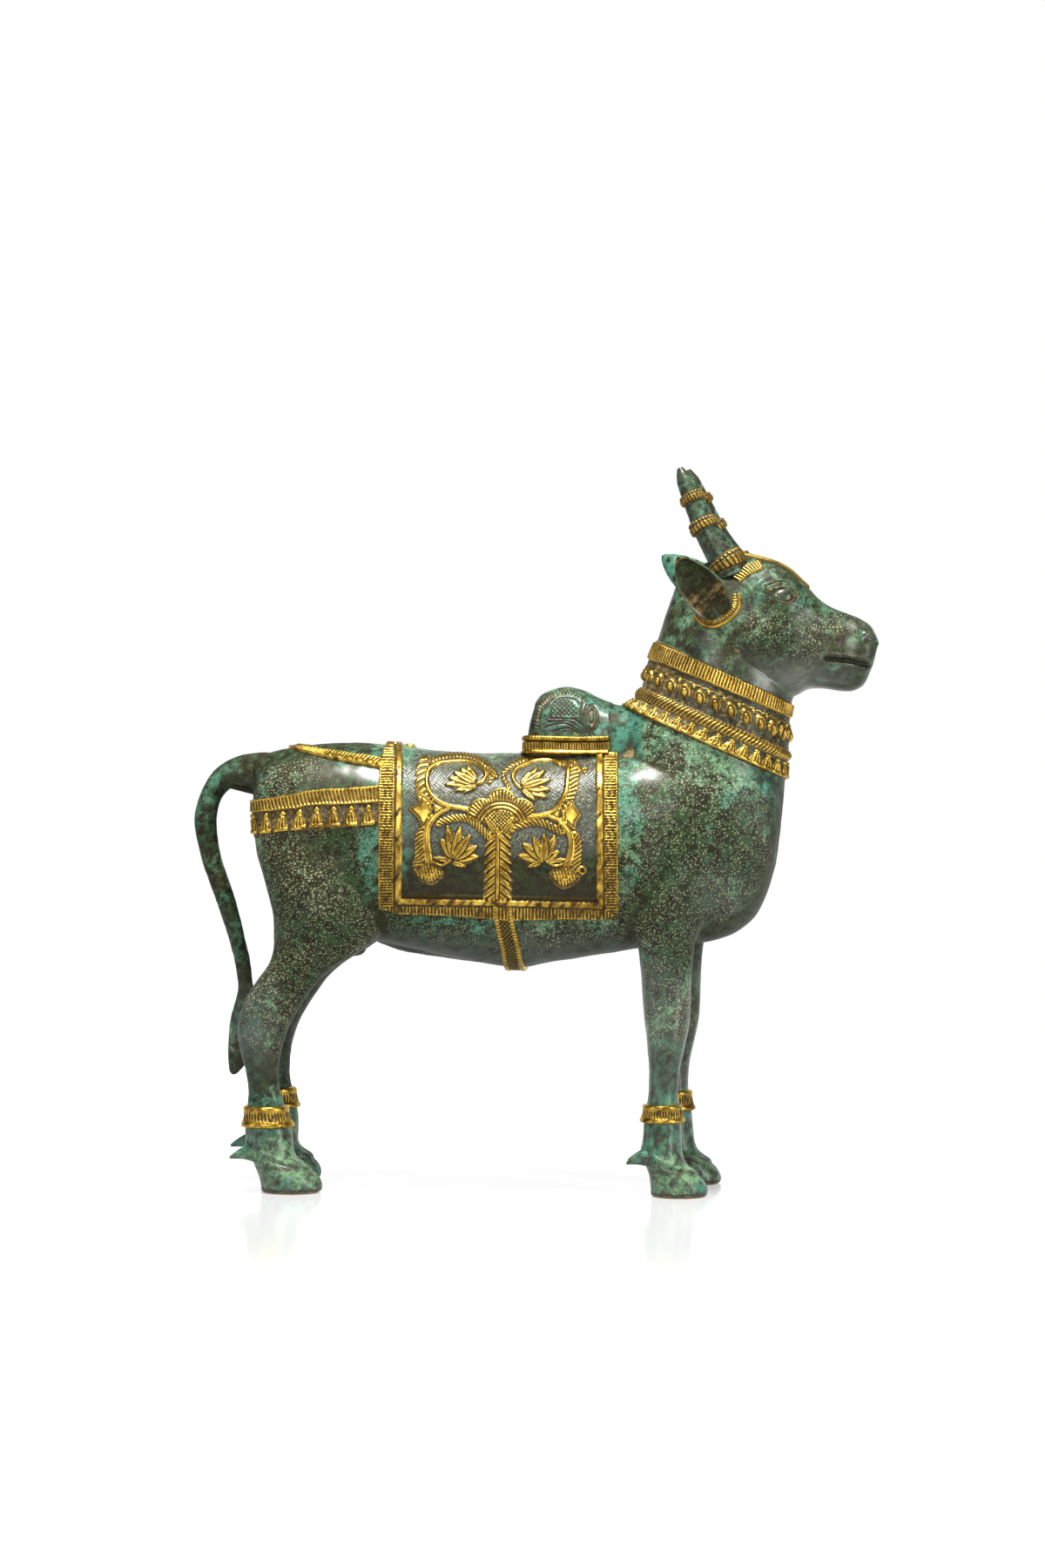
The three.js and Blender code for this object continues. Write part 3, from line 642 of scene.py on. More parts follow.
def build_body():
    """Trunk, hump, lower neck, legs, tail and underparts as one skin with filled corners."""
    parts = [
        form(TRUNK, 120, 144, TRUNK_POWER),
        form(HUMP, 60, 96, HUMP_POWER),
        form(NECK, 60, 96, 2.0, 0.0, 5.4),
        form(TAIL, 120, 40),
        form(SHEATH, 40, 40),
        form(SCROTUM, 30, 40),
    ]
    for leg in LEGS:
        rows, _, _, bangle, _ = leg
        parts.append(closed_loft(leg_rings(leg, np.linspace(0, place_at(rows, sum(bangle) / 2), 110), 56)))
    build_skin("body", parts, BODY_VOXEL, (6, 34, 5), 4, [body_carving], body_patina)
def body_carving(points):
    """How far the body's skin is raised or sunk: muscle lines, a fold at the stifle, a hand's unevenness."""
    x, y, z = points.T
    out = 0.22 * wavy(points, 38, 1) + 0.1 * wavy(points, 15, 2)
    flank = step(18, 30, np.abs(y))
    for path, width, depth in BODY_LINES:
        out = out - flank * depth * line_peak(x, z, path, width, 4)
    return out
BODY_LINES = [
    ([(-84, 186), (-82, 172), (-78, 158), (-80, 146)], 3.5, 0.5),
    ([(50, 150), (51, 163), (49, 178), (51, 195)], 4.0, 0.45),
    ([(104, 150), (107, 163), (110, 180), (106, 200)], 5.0, 0.6),
    ([(88, 137), (96, 142), (104, 150)], 3.0, 0.5),
]


# Head

def head_carving(points):
    """The carving of the head in side view: mouth, lips, jaw lines and nostrils, raised or sunk in mm."""
    x, y, z = points.T
    out = np.zeros(len(points))
    face = step(7, 13, np.abs(y))
    for path, width, rise in HEAD_LINES:
        out += face * rise * line_peak(x, z, path, width, 5)
    return out + nostrils(points)
HEAD_LINES = [
    ([(160.2, 289.8), (169.1, 288.9), (175, 288), (181, 286.5), (184.8, 286.2)], 0.95, -2.2),
    ([(161, 292), (170, 291.3), (178, 290.2), (184.5, 288.6)], 1.2, 0.9),
    ([(163, 286.8), (170, 286.2), (176, 285.4), (182, 284.2)], 1.2, 0.8),
    ([(152, 291), (156, 290.4), (160.2, 289.8)], 1.5, -0.35),
    ([(130.5, 317), (135, 314.6), (140, 314.4), (145.5, 316.6)], 1.6, -0.45),
    ([(108, 300), (112, 292), (119, 286), (128, 282.5)], 3.5, -0.5),
    ([(146, 316), (154, 311), (163, 307)], 2.6, -0.35),
    ([(149, 305), (156, 300.5), (165, 298)], 2.4, -0.3),
]


def head_grain(points):
    """The slight unevenness of a hand-finished head."""
    return 0.12 * wavy(points, 22, 4)


def build_head():
    """Upper neck and skull as one finely remeshed skin, with the face worked into it."""
    parts = [
        form(HEAD, 120, 128, HEAD_POWER),
        form(NECK, 60, 128, 2.0, 4.6, 8.0),
    ]
    build_skin("head", parts, HEAD_VOXEL, (5, 30, 6), 3, [head_carving, head_grain], head_patina)
def nostrils(points):
    """Two hollows beside the muzzle with a raised rim in front and above."""
    x, y, z = points.T
    rim = line_peak(x, z, [(181.2, 303.4), (184.6, 303.2), (187.4, 301), (187.6, 298.4)], 1.1, 5)
    return step(3.0, 6.5, np.abs(y)) * (0.7 * rim - 1.5 * spot(points, 183.6, 300.2, 2.6, 1.7))
def head_patina(points, hollow):
    """The amounts of each finish over the head: turquoise brow, speckled cheek, grey waxed jaw."""
    x, y, z = points.T
    mottle = wavy(points, 30, 6)
    brow = spot(points, 123, 330, 9, 13)
    cheek = spot(points, 136, 304, 24, 17)
    jaw = spot(points, 140, 279, 24, 8)
    muzzle = spot(points, 170, 301, 9, 6) + spot(points, 180, 305, 6, 5)
    ball = ((x - 137.6) / 4.2) ** 2 + ((z - 323.6) / 3.0) ** 2
    eyeball = step(1.05, 0.85, ball) * step(9, 14, np.abs(y))
    nose = spot(points, 158, 318, 16, 6)
    teal = 0.17 - 0.12 * cheek + 0.22 * mottle + 0.34 * brow + 0.15 * nose
    teal = teal + 0.35 * spot(points, 95, 318, 14, 16)
    teal = teal + 0.2 * spot(points, 112, 305, 10, 12) + 0.2 * spot(points, 140, 323, 9, 8)
    # The pale specks on the top of the muzzle are partly a painted highlight.
    speck = 0.25 + 0.75 * cheek - 0.5 * jaw + 0.5 * spot(points, 168, 311, 16, 7)
    wax = 0.35 + 0.8 * muzzle + 0.6 * jaw + 0.9 * eyeball + 0.5 * nose
    smoke = 0.9 * jaw + 0.2 * step(0.1, 0.7, wavy(points, 34, 9)) + 0.12 * step(150, 172, x)
    # Dirt and painted shade: darker in the hollows of the face, such as the mouth, and in three small dark
    # spots by the jaw and the eye.
    dirt = 0.62 * hollow + 0.9 * spot(points, 111.3, 293.6, 3.5, 3) + 0.5 * spot(points, 135.8, 311, 3, 4.5)
    dirt = dirt + 0.3 * eyeball + 0.5 * spot(points, 117, 319, 1.4, 1.4)
    bare = 1 - eyeball
    return dict(dirt=dirt, teal=teal * bare, speck=speck * bare, wax=wax, smoke=smoke)
# Hooves, bangles and horns

def hoof_rings(leg, around=96):
    """Rings of a leg below its bangle, with the cleft, the hoof's upper edge, tendon lines and knuckles."""
    rows, side, _, bangle, _ = leg
    top = place_at(rows, sum(bangle) / 2)
    rings = leg_rings(leg, np.linspace(top, len(rows) - 1, 92), around)
    angle = np.linspace(0, 2 * math.pi, around, endpoint=False)[None]
    z = rings[..., 2]
    out = unit((rings - rings.mean(1, keepdims=True)) * (1, 1, 0))
    front = np.cos(angle)
    edge = 19.5 - 6.0 * front if rows is FORE_LEG else 20.5 - 6.5 * front
    rise = 0.75 * peak(z, edge, 1.5) - 0.55 * peak(z - edge, -2.9, 1.2)
    away = np.abs(rings[..., 1] - side * LEG_SPREAD)
    cleft = step(21, 14, z) * peak(away, 0, 1.35) * step(0.1, 0.5, front)
    tendon = peak(np.abs(angle - math.pi), 0.62, 0.2) * step(18, 28, z)
    knuckle = 0.5 * peak(z, 27, 4.5) * peak(np.abs(np.sin(angle)), 1, 0.3)
    sole = step(1.2, 0.0, z)
    wave = 0.22 * wavy(rings, 17, side + 2)
    move = rise - 3.4 * cleft - 0.5 * tendon + knuckle - 0.9 * sole + wave
    rings = rings + out * move[..., None]
    rings[..., 2] = np.clip(rings[..., 2], 0, None)
    return rings


def dewclaw_rings(leg, turn):
    """Rings of a dewclaw: a bowed cone from inside the shank to its tip; `turn` is -1 or 1 by its side."""
    _, side, shifts, _, (height, reach) = leg
    tip = np.array([reach + shifts[0], side * LEG_SPREAD + 7.2 * turn, height - 3.2])
    root = tip + np.array([15.5, -2.6 * turn, 2.6])
    t = np.linspace(0, 1, 22)[:, None, None]
    angle = np.linspace(0, 2 * math.pi, 24, endpoint=False)[None, :, None]
    radius = 6.0 * (1 - t) ** 0.85 + 0.7 * t
    ring = root + (tip - root) * t + np.array([0, 0, 1.3]) * np.sin(math.pi * t)
    return ring + radius * (np.cos(angle) * np.array([0.1, 0, 1]) + np.sin(angle) * np.array([0, 1, 0]))


def build_hooves():
    """Each leg below its bangle, with its two dewclaws."""
    parts = []
    for leg in LEGS:
        for rings in (hoof_rings(leg), dewclaw_rings(leg, -1), dewclaw_rings(leg, 1)):
            parts.append(closed_loft(rings))
    points, four, three = joined(parts)
    z = points[:, 2]
    under = step(3.5, 0.5, z)
    mottle = wavy(points, 14, 7)
    seam = step(0.2, 1.0, peak(z, 14, 2.2)) * 0.6
    finish(new_mesh("hooves", points, four, three), teal=0.48 + 0.34 * mottle - 0.7 * under, wax=0.55,
           speck=0.3 + 0.2 * mottle, dirt=0.4 * step(0.2, 0.8, wavy(points, 12, 5)) + under + seam,
           smoke=0.3 - 0.3 * mottle)
def build_bangles():
    """A ring round each shank: two rounded rims with a ticked groove between them, closed inside the leg."""
    count, around = 40, 240
    t = np.linspace(0, 1, count)
    angle = np.linspace(0, 2 * math.pi, around, endpoint=False)
    rim = np.maximum(1.2 * peak(t, 0.16, 0.14), 0.9 * peak(t, 0.84, 0.12))
    band = 1.35 * step(0.0, 0.08, t) * step(1.0, 0.92, t)
    ticks = np.cos(angle * BANGLE_TICKS) ** 2
    middle = np.exp(-((t - 0.5) / 0.17) ** 4)[:, None]
    rise = (band + 0.85 * rim)[:, None] - 0.75 * middle * (ticks ** 3)[None]
    rise = rise - 3.0 * (step(0.035, 0.0, t) + step(0.965, 1.0, t))[:, None]
    worn = 1 - 0.9 * middle * ticks[None] ** 2 - 0.25 * peak(t, 0.5, 0.3)[:, None]
    parts = []
    for leg in LEGS:
        rows, side, _, (low, high), _ = leg
        rings = leg_rings(leg, place_at(rows, low + (high - low) * t, 900), around)
        out = unit(rings - rings.mean(1, keepdims=True))
        parts.append(closed_loft(rings + out * (rise + 0.1 * wavy(rings, 9, side))[..., None]))
    points, four, three = joined(parts)
    gilt = np.tile(np.concatenate([worn.ravel(), [0, 0]]), len(LEGS))
    patch = step(0.15, 0.8, wavy(points, 11, 13))
    finish(new_mesh("bangles", points, four, three), gilt=gilt - 0.5 * patch, dirt=0.9 - gilt + 0.5 * patch,
           teal=0.4 * patch, wax=0.3)
# Each horn ring: its place in the horn's list, its half length there, and how far it stands proud.
HORN_RINGS = [(1.0, 0.42, 2.3), (4.0, 0.34, 2.0), (6.1, 0.4, 1.8)]


def build_horns():
    """Two horns, each a round tube along its middle line, with three swollen rings that carry ticks."""
    count, around = 260, 200
    places = np.linspace(0, len(HORN) - 1, count)
    rows = row_at(HORN, places)
    angle = np.linspace(0, 2 * math.pi, around, endpoint=False)
    swelling = np.zeros((count, around))
    metal = np.zeros((count, around))
    hollow = np.zeros((count, around))
    for at, half, reach in HORN_RINGS:
        t = (places - at) / half
        band = (step(-1.1, -0.9, t) * step(1.1, 0.9, t))[:, None]
        slanted = angle[None] * 11 + 0.9 * t[:, None] + at
        ticks = np.cos(slanted) ** 8 * (np.abs(t) < 0.95)[:, None]
        cut = np.clip(ticks + 0.7 * peak(t, 0.35, 0.14)[:, None], 0, 1)
        swelling += (dome(t / 1.12) ** 0.6 * reach)[:, None] * band - 0.75 * band * cut
        metal += band * (1 - 0.9 * cut)
        hollow += 0.9 * band * cut
        hollow += peak(np.abs(t), 1.25, 0.22)[:, None]
    for name, side, forward in (("near_horn", -1, 0.0), ("far_horn", 1, FAR_HORN_FORWARD)):
        centre = rows[:, :3] * (1, side, 1) + (forward, 0, 0)
        along = unit(np.gradient(centre, axis=0))
        across = unit(np.cross(along, [0.0, 1.0, 0.0]))
        third = np.cross(along, across)
        radius = rows[:, 3:4] + (swelling + 0.15 * wavy(centre, 9, 3)[:, None])
        ring = centre[:, None] + radius[..., None] * (np.cos(angle)[None, :, None] * across[:, None]
                                                     + np.sin(angle)[None, :, None] * third[:, None])
        points, four, three = closed_loft(ring)
        gilt, sunk, tip = (np.append(grid, [0.0, 0.0]) for grid in (
            metal, hollow, np.repeat(step(7.6, 8.4, places), around)))
        patch = step(0.2, 0.8, wavy(points, 9, 17))
        finish(new_mesh(name, points, *outwards(points, four, three)), gilt=gilt * (1 - 0.35 * patch),
               dirt=0.3 + 0.6 * sunk + 0.3 * tip + 0.3 * patch * gilt,
               teal=0.3 - 0.4 * tip + 0.3 * wavy(points, 12, 2), speck=0.15, wax=0.35, smoke=0.1)
# Chased trappings laid on the body

def shell(name, base, rise, core, wrap=False, reach=3):
    """A relief as a closed skin: the base grid moved out along its normals, its edges sunk into the body and
    closed by fans on points inside it. `core` is one inner point for each open edge loop.
    """
    core = np.asarray(core, float)
    normal = normals_of(base, wrap)
    if np.einsum("ijk,ijk->", base - core[0], normal) < 0:
        normal = -normal
    rows, columns = rise.shape
    edge = np.minimum(np.arange(rows), np.arange(rows)[::-1])[:, None].astype(float)
    if not wrap:
        edge = np.minimum(edge, np.minimum(np.arange(columns), np.arange(columns)[::-1])[None])
    keep = step(0, reach, np.broadcast_to(edge, rise.shape))
    points = base + normal * (rise * keep - EDGE_SINK * (1 - keep))[..., None]
    count = rows * columns
    index = np.arange(count).reshape(rows, columns)
    if wrap:
        three = np.concatenate([fan(index[0][::-1], count), fan(index[-1], count + 1)])
    else:
        loop = np.concatenate([index[0, :-1], index[:-1, -1], index[-1, :0:-1], index[:0:-1, 0]])
        three = fan(loop[::-1], count)
    points = np.concatenate([points.reshape(-1, 3), core])
    return new_mesh(name, points, *outwards(points, quads(rows, columns, wrap), three))
def padded(grid, shape, count):
    """A grid of amounts as one list, with zeros for the inner points after it; one number stays as it is."""
    if np.ndim(grid) == 0:
        return grid
    grid = np.broadcast_to(grid, shape).ravel()
    return np.append(grid, np.zeros(count - len(grid)))


def relief(name, base, rise, core, wrap=False, reach=3, **amounts):
    """A relief as a finished piece; the amount of each finish is a grid like the rise, or one number."""
    piece = shell(name, base, rise, core, wrap, reach)
    count = len(piece.data.vertices)
    finish(piece, **{kind: padded(amount, rise.shape, count) for kind, amount in amounts.items()})


def blurred(grid, rounds):
    """A grid evened with its neighbours along both ways."""
    for _ in range(rounds):
        spread = np.pad(grid, ((1, 1),) + ((0, 0),) * (grid.ndim - 1), "edge")
        grid = (spread[:-2] + 2 * grid + spread[2:]) / 4
        spread = np.pad(grid, ((0, 0), (1, 1)) + ((0, 0),) * (grid.ndim - 2), "edge")
        grid = (spread[:, :-2] + 2 * grid + spread[:, 2:]) / 4
    return grid
def dome(distance):
    """A round boss: 1 in the middle, 0 at distance 1 and beyond."""
    return np.sqrt(np.maximum(0, 1 - distance ** 2))


def groove(value, width):
    """A cut at every whole number: 1 at its bottom, 0 once `width` of the pitch away."""
    return step(width, width * 0.35, np.abs(value - np.round(value)))
def seen(points, depth):
    """Where points of the near side stand as the camera sees them, on the upright plane at a depth y."""
    ex, ey, ez = EYE_POINT
    near = (depth - ey) / (points[..., 1] - ey)
    return ex + (points[..., 0] - ex) * near, ez + (points[..., 2] - ez) * near
def tassel(a, b, tall, broad):
    """A bell tassel: a round knob, a pleated skirt that spreads downwards and a raised lip.

    `a` is how far across from its middle a point is and `b` how far below its top; returns rise and cuts.
    """
    t = b / tall
    across = a / (broad * (0.5 + 0.46 * step(0.2, 0.72, t)))
    knob = dome(np.hypot(a / (0.48 * broad), (t - 0.14) / 0.15))
    neck = between(t, 0.25, 0.29, 0.33, 0.37) * dome(a / (0.5 * broad))
    body = between(t, 0.28, 0.34, 0.8, 0.84) * dome(across) ** 0.7
    pleats = groove(across * 2.0 + 0.5, 0.24) * (np.abs(across) < 0.95)
    lip = between(t, 0.78, 0.83, 0.95, 1.0) * dome(a / broad) ** 0.4
    rise = np.maximum.reduce([1.9 * knob, 2.0 * neck, body * (1.9 - 0.7 * pleats), 2.3 * lip])
    return rise, body * pleats
def repeats(turn, count, girth, shift=0.0):
    """How far along the arc each point is from the middle of the nearest of `count` repeats."""
    return ((turn * count + shift) % 1 - 0.5) * girth / count


def build_collars():
    """Two gilded collars with a row of beads between them and a row of tassels below, round the neck.

    The grid runs round the neck's ellipses at even arc lengths and up through its list of sections. Beads and
    tassels repeat along the arc, and ticks are cut at whole numbers of it.
    """
    rows, columns = 142, 700
    low, high = COLLAR_PLACES
    place = np.linspace(low, high, rows)[:, None]
    dense = np.linspace(0, 2 * math.pi, 3000)
    arc = arc_length(section(row_at(NECK, np.array([4.0])), dense))
    girth = arc[-1]
    turn = np.linspace(0, 1, columns, endpoint=False)
    angle = np.interp(turn * girth, arc, dense)[None]
    turn = turn[None]
    shape = (rows, columns)
    base = section(row_at(NECK, np.broadcast_to(place, shape)), np.broadcast_to(angle, shape))
    grain = wavy(base, 9, 4)
    up = place + 0.022 * wavy(base, 17, 2)

    # The plain upper collar with its ticks.
    tall = (up - 5.02) / 0.96
    plain = between(tall, 0, 0.1, 0.93, 1)
    ticks = groove(turn * COLLAR_TICKS, 0.27) * step(0.08, 0.16, tall) * step(0.98, 0.9, tall)
    crest = plain * (1.75 - 0.75 * ticks + 0.15 * np.sin(math.pi * np.clip(tall, 0, 1)))

    # The lower collar, twisted like a rope.
    rope = (up - 3.02) / 0.94
    rope_in = np.clip(rope, 0, 1)
    twist = groove(turn * COLLAR_TWISTS + 1.9 * rope_in, 0.34)
    round_rope = between(rope, 0, 0.06, 0.94, 1) * (0.7 + 1.8 * np.sin(math.pi * rope_in) ** 0.8)
    rope_rise = round_rope - 0.85 * twist * step(0, 0.15, rope) * step(1, 0.85, rope)

    # Beads with an arch chased into each, a grain between two beads, and a wavy line over them.
    across = repeats(turn, BEADS, girth)
    above = (place - 4.47) * 15.5
    ball = dome(np.hypot(across / 3.75, above / 3.9))
    lift = np.maximum(above + 0.5, 0) + np.minimum(above + 0.5, 0) * 0.25
    arch = peak(np.hypot(across, lift), 2.0, 0.5) * step(-4.2, -3.4, above) * (ball > 0)
    seed = dome(np.hypot(across / 1.25, (above + 1.6) / 1.5))
    beads = 3.0 * ball - 0.9 * arch + 0.35 * seed
    spacer = 1.5 * dome(np.hypot(repeats(turn, BEADS, girth, 0.5) / 1.15, (above - 3.9) / 1.1))
    lace = 0.9 * step(0.55, 0.2, np.abs(above - 5.2 - 0.25 * np.sin(turn * 2 * math.pi * 2 * BEADS)))

    hang = repeats(turn, TASSELS, girth, 0.3)
    drop_rise, pleats = tassel(hang, (2.99 - place) * 14.2, 9.6, 3.95)

    top = np.maximum.reduce([crest, rope_rise, beads, spacer, lace, drop_rise])
    metal = step(0.45, 0.95, top)
    rise = np.maximum(0.55 + 0.12 * grain, top)
    fade = between(place, 2.2, 2.34, 6.03, 6.1)
    rise = rise * fade - 1.3 * (1 - fade)
    core = []
    for x1, z1, x2, z2, _ in row_at(NECK, np.array(COLLAR_PLACES)):
        core.append([(x1 + x2) / 2, 0, (z1 + z2) / 2])
    cuts = np.maximum.reduce([ticks * plain, twist * (rope > 0) * (rope < 1), arch, pleats])
    nape = step(96, 70, base[..., 0]) * 0.3
    worn = metal * (1 - 0.85 * cuts) - 0.25 * step(0.3, 0.8, wavy(base, 21, 6)) * (up < 4.3) - nape * 0.4
    dirt = 0.75 * (1 - metal) + 0.9 * cuts + 0.35 * nape + 0.2 * (up < 4.95) * step(0.0, 0.8, grain)
    green = (1 - metal) * (0.35 + 0.45 * wavy(base, 13, 9))
    relief("collars", base, rise, core, wrap=True, reach=2, gilt=worn, dirt=dirt, teal=green, wax=0.3)
class Chasing:
    """A field of rise, gilding and cuts over side-view points x, z, on which ornament is drawn."""

    def __init__(self, x, z):
        self.x, self.z = x, z
        self.rise = np.zeros(x.shape)
        self.gilt = np.zeros(x.shape)
        self.cut = np.zeros(x.shape)

    def near(self, points, margin):
        """The points of the field close enough to a drawn line to be touched by it."""
        points = np.asarray(points, float)
        low, high = points.min(0) - margin, points.max(0) + margin
        return (self.x > low[0]) & (self.x < high[0]) & (self.z > low[1]) & (self.z < high[1])

    def put(self, touched, rise, cut=0.0):
        """Lays ornament over what is there: the higher surface wins and keeps its own cuts."""
        before = self.rise[touched]
        wins = rise > before
        self.rise[touched] = np.where(wins, rise - CUT_DEPTH * cut, before)
        self.cut[touched] = np.where(wins, cut, self.cut[touched])
        self.gilt[touched] = np.where(wins, step(0.12, 0.5, rise), self.gilt[touched])

    def stem(self, path, width, rise, end=None, barbs=0.0, pitch=1.0, lean=0.0):
        """A rounded line of a width that may change to `end`, with leaf barbs on its sides every `pitch`."""
        path = smooth_path(path)
        touched = self.near(path, width + barbs + 2)
        off, along, _ = path_distance(self.x[touched], self.z[touched], path)
        half = (width + ((width if end is None else end) - width) * along / max(along.max(), 1e-6)) / 2
        if not barbs:
            self.put(touched, rise * dome(off / half) ** 0.6)
            return
        wave = (along / pitch + lean * off / pitch) % 1
        reach = half + barbs * np.sin(math.pi * np.clip(wave, 0, 1) ** 0.6) ** 0.6
        edges = peak(off - half * 0.45, 0, 0.34)
        parting = step(0.17, 0.06, np.minimum(wave, 1 - wave)) * (off > half * 0.45)
        vein = 0.7 * step(0.1, 0.03, np.abs(wave - 0.5)) * (off > half * 0.7)
        self.put(touched, rise * step(1.0, 0.76, off / reach), np.maximum.reduce([edges, parting, vein]))

    def rope(self, path, width, pitch, lean, rise):
        """A band cut across into slanted lens-shaped segments."""
        path = smooth_path(path)
        touched = self.near(path, width + 1)
        off, along, side = path_distance(self.x[touched], self.z[touched], path)
        cut = groove((along + lean * side * off) / pitch, 0.3)
        self.put(touched, rise * dome(off / (width / 2)) ** 0.45, cut)

    def petal(self, base, tip, half, rise):
        """A pointed petal from base to tip, with a midrib and a line cut inside its edge."""
        (x1, z1), (x2, z2) = base, tip
        touched = self.near([base, tip], half + 1)
        dx, dz = x2 - x1, z2 - z1
        length = math.hypot(dx, dz)
        u = ((self.x[touched] - x1) * dx + (self.z[touched] - z1) * dz) / length ** 2
        v = ((self.z[touched] - z1) * dx - (self.x[touched] - x1) * dz) / length
        width = half * np.sin(math.pi * np.clip(u, 0, 1) ** 0.8) ** 0.75 + 0.02
        across = np.where((u > 0) & (u < 1), np.abs(v) / width, 9)
        cut = peak(across, 0.72, 0.15) + 0.9 * peak(v, 0, 0.28) * step(0.85, 0.6, u)
        self.put(touched, rise * step(1.0, 0.8, across) * (0.85 + 0.25 * u), np.clip(cut, 0, 1))

    def ring(self, centre, radius, width, rise, sector=None):
        """A rounded ring, or the part of it between two angles."""
        touched = self.near([centre], radius + width + 1)
        x, z = self.x[touched] - centre[0], self.z[touched] - centre[1]
        off = np.abs(np.hypot(x, z) - radius)
        if sector:
            turn = np.arctan2(z, x)
            off = np.where((turn > sector[0]) & (turn < sector[1]), off, 9)
        self.put(touched, rise * dome(off / (width / 2)) ** 0.6)

    def area(self, outline, rise, border, pitch=0.0, lean=(1.0, 0.0)):
        """A flat raised shape in an outline: a line is cut inside its edge, and hatching at every `pitch`."""
        outline = np.asarray(outline, float)
        touched = self.near(outline, 1.5)
        x, z = self.x[touched], self.z[touched]
        loop = np.concatenate([outline, outline[:1]])
        inside = np.zeros(x.shape, bool)
        for (x1, z1), (x2, z2) in zip(loop[:-1], loop[1:]):
            if z1 != z2:
                inside ^= ((z1 > z) != (z2 > z)) & (x < (x2 - x1) * (z - z1) / (z2 - z1) + x1)
        off = path_distance(x, z, loop)[0]
        depth = np.where(inside, off, -off)
        hatch = groove((x * lean[0] + z * lean[1]) / pitch, 0.24) if pitch else 0.0
        cut = np.maximum(np.where(depth < border, 0, hatch), peak(depth, border, 0.32))
        self.put(touched, rise * step(-0.25, 0.35, depth), cut)
# Saddle cloth

LEFT_STEM = [(-14.8, 194.4), (-15.9, 197.2), (-18.2, 200.6), (-21.6, 203.4), (-26.1, 206.2), (-30.6, 207.9),
             (-36.2, 209), (-40.7, 209.6), (-45.2, 211.2), (-49.2, 214), (-52, 217.4), (-53.4, 221.3),
             (-53.4, 225.3), (-52.3, 228.6), (-49.2, 231.4), (-45.2, 232.8), (-40.2, 233.4), (-34.5, 233.7),
             (-29.5, 232.8), (-25, 230.9), (-22.1, 228.1), (-21.6, 225.3), (-23.3, 222.7), (-26.1, 221.3)]
LEFT_SCROLL = [(-42.4, 208.4), (-46.9, 206.2), (-50.3, 202.8), (-52.6, 198.9), (-53.4, 194.4), (-53.4, 189.9),
               (-52.8, 184.9), (-52.3, 180.4)]
RIGHT_STEM = [(-12.9, 195.6), (-9.5, 198.4), (-6.7, 201.1), (-2.8, 203.4), (2.3, 204.2), (7.9, 204.8),
              (13, 206), (16.3, 208.4), (19.1, 212.4), (21.4, 216.8), (22.2, 221.3), (22.5, 225.3),
              (22.8, 229.5)]
RIGHT_LOOP = [(18.1, 232), (13.6, 234), (9.1, 234.2), (4.5, 233.7), (0, 232), (-3.9, 230), (-6.4, 227.5),
              (-7, 224.7), (-5.6, 221.9), (-3.3, 219.6)]
RIGHT_SCROLL = [(13, 204.5), (16.9, 202.8), (20.3, 200), (23.1, 196.1), (24.3, 191.6), (24.3, 187.1),
                (23.4, 182.7), (22, 179.3)]
FAN_FOOT = (-13.2, 197.2)


def lotus(cloth, base, tips, half, leaves=()):
    """A lotus: petals from one base to each tip, the outer ones first and the middle ones over them."""
    middle = (len(tips) - 1) / 2
    for k in sorted(range(len(tips)), key=lambda k: -abs(k - middle)):
        cloth.petal(base, tips[k], half, 1.15 + 0.25 * (1 - abs(k - middle) / (middle + 1)))
    for leaf in leaves:
        cloth.petal(*leaf, 1.2)
def bell(cloth, neck, left, right, tip):
    """A bell flower that hangs from its neck, with a ticked edge."""
    waist, rise = 0.3, 1.25
    pinch_left = [neck[k] + waist * (left[k] - neck[k]) for k in (0, 1)]
    pinch_right = [neck[k] + waist * (right[k] - neck[k]) for k in (0, 1)]
    lip_left = ((left[0] + tip[0]) / 2 - 0.4, (left[1] + tip[1]) / 2 - 1.3)
    lip_right = ((right[0] + tip[0]) / 2 + 0.4, (right[1] + tip[1]) / 2 - 1.3)
    outline = smooth_path([neck, pinch_left, left, lip_left, tip, lip_right, right, pinch_right, neck], 5)
    cloth.area(outline, rise, 0.55, 1.7, (1.0, 0.25))
    middle = (left[0] + right[0]) / 2, (left[1] + right[1]) / 2 + 0.4
    cloth.ring(middle, 3.1, 0.9, rise + 0.25, (-3.0, -0.1))
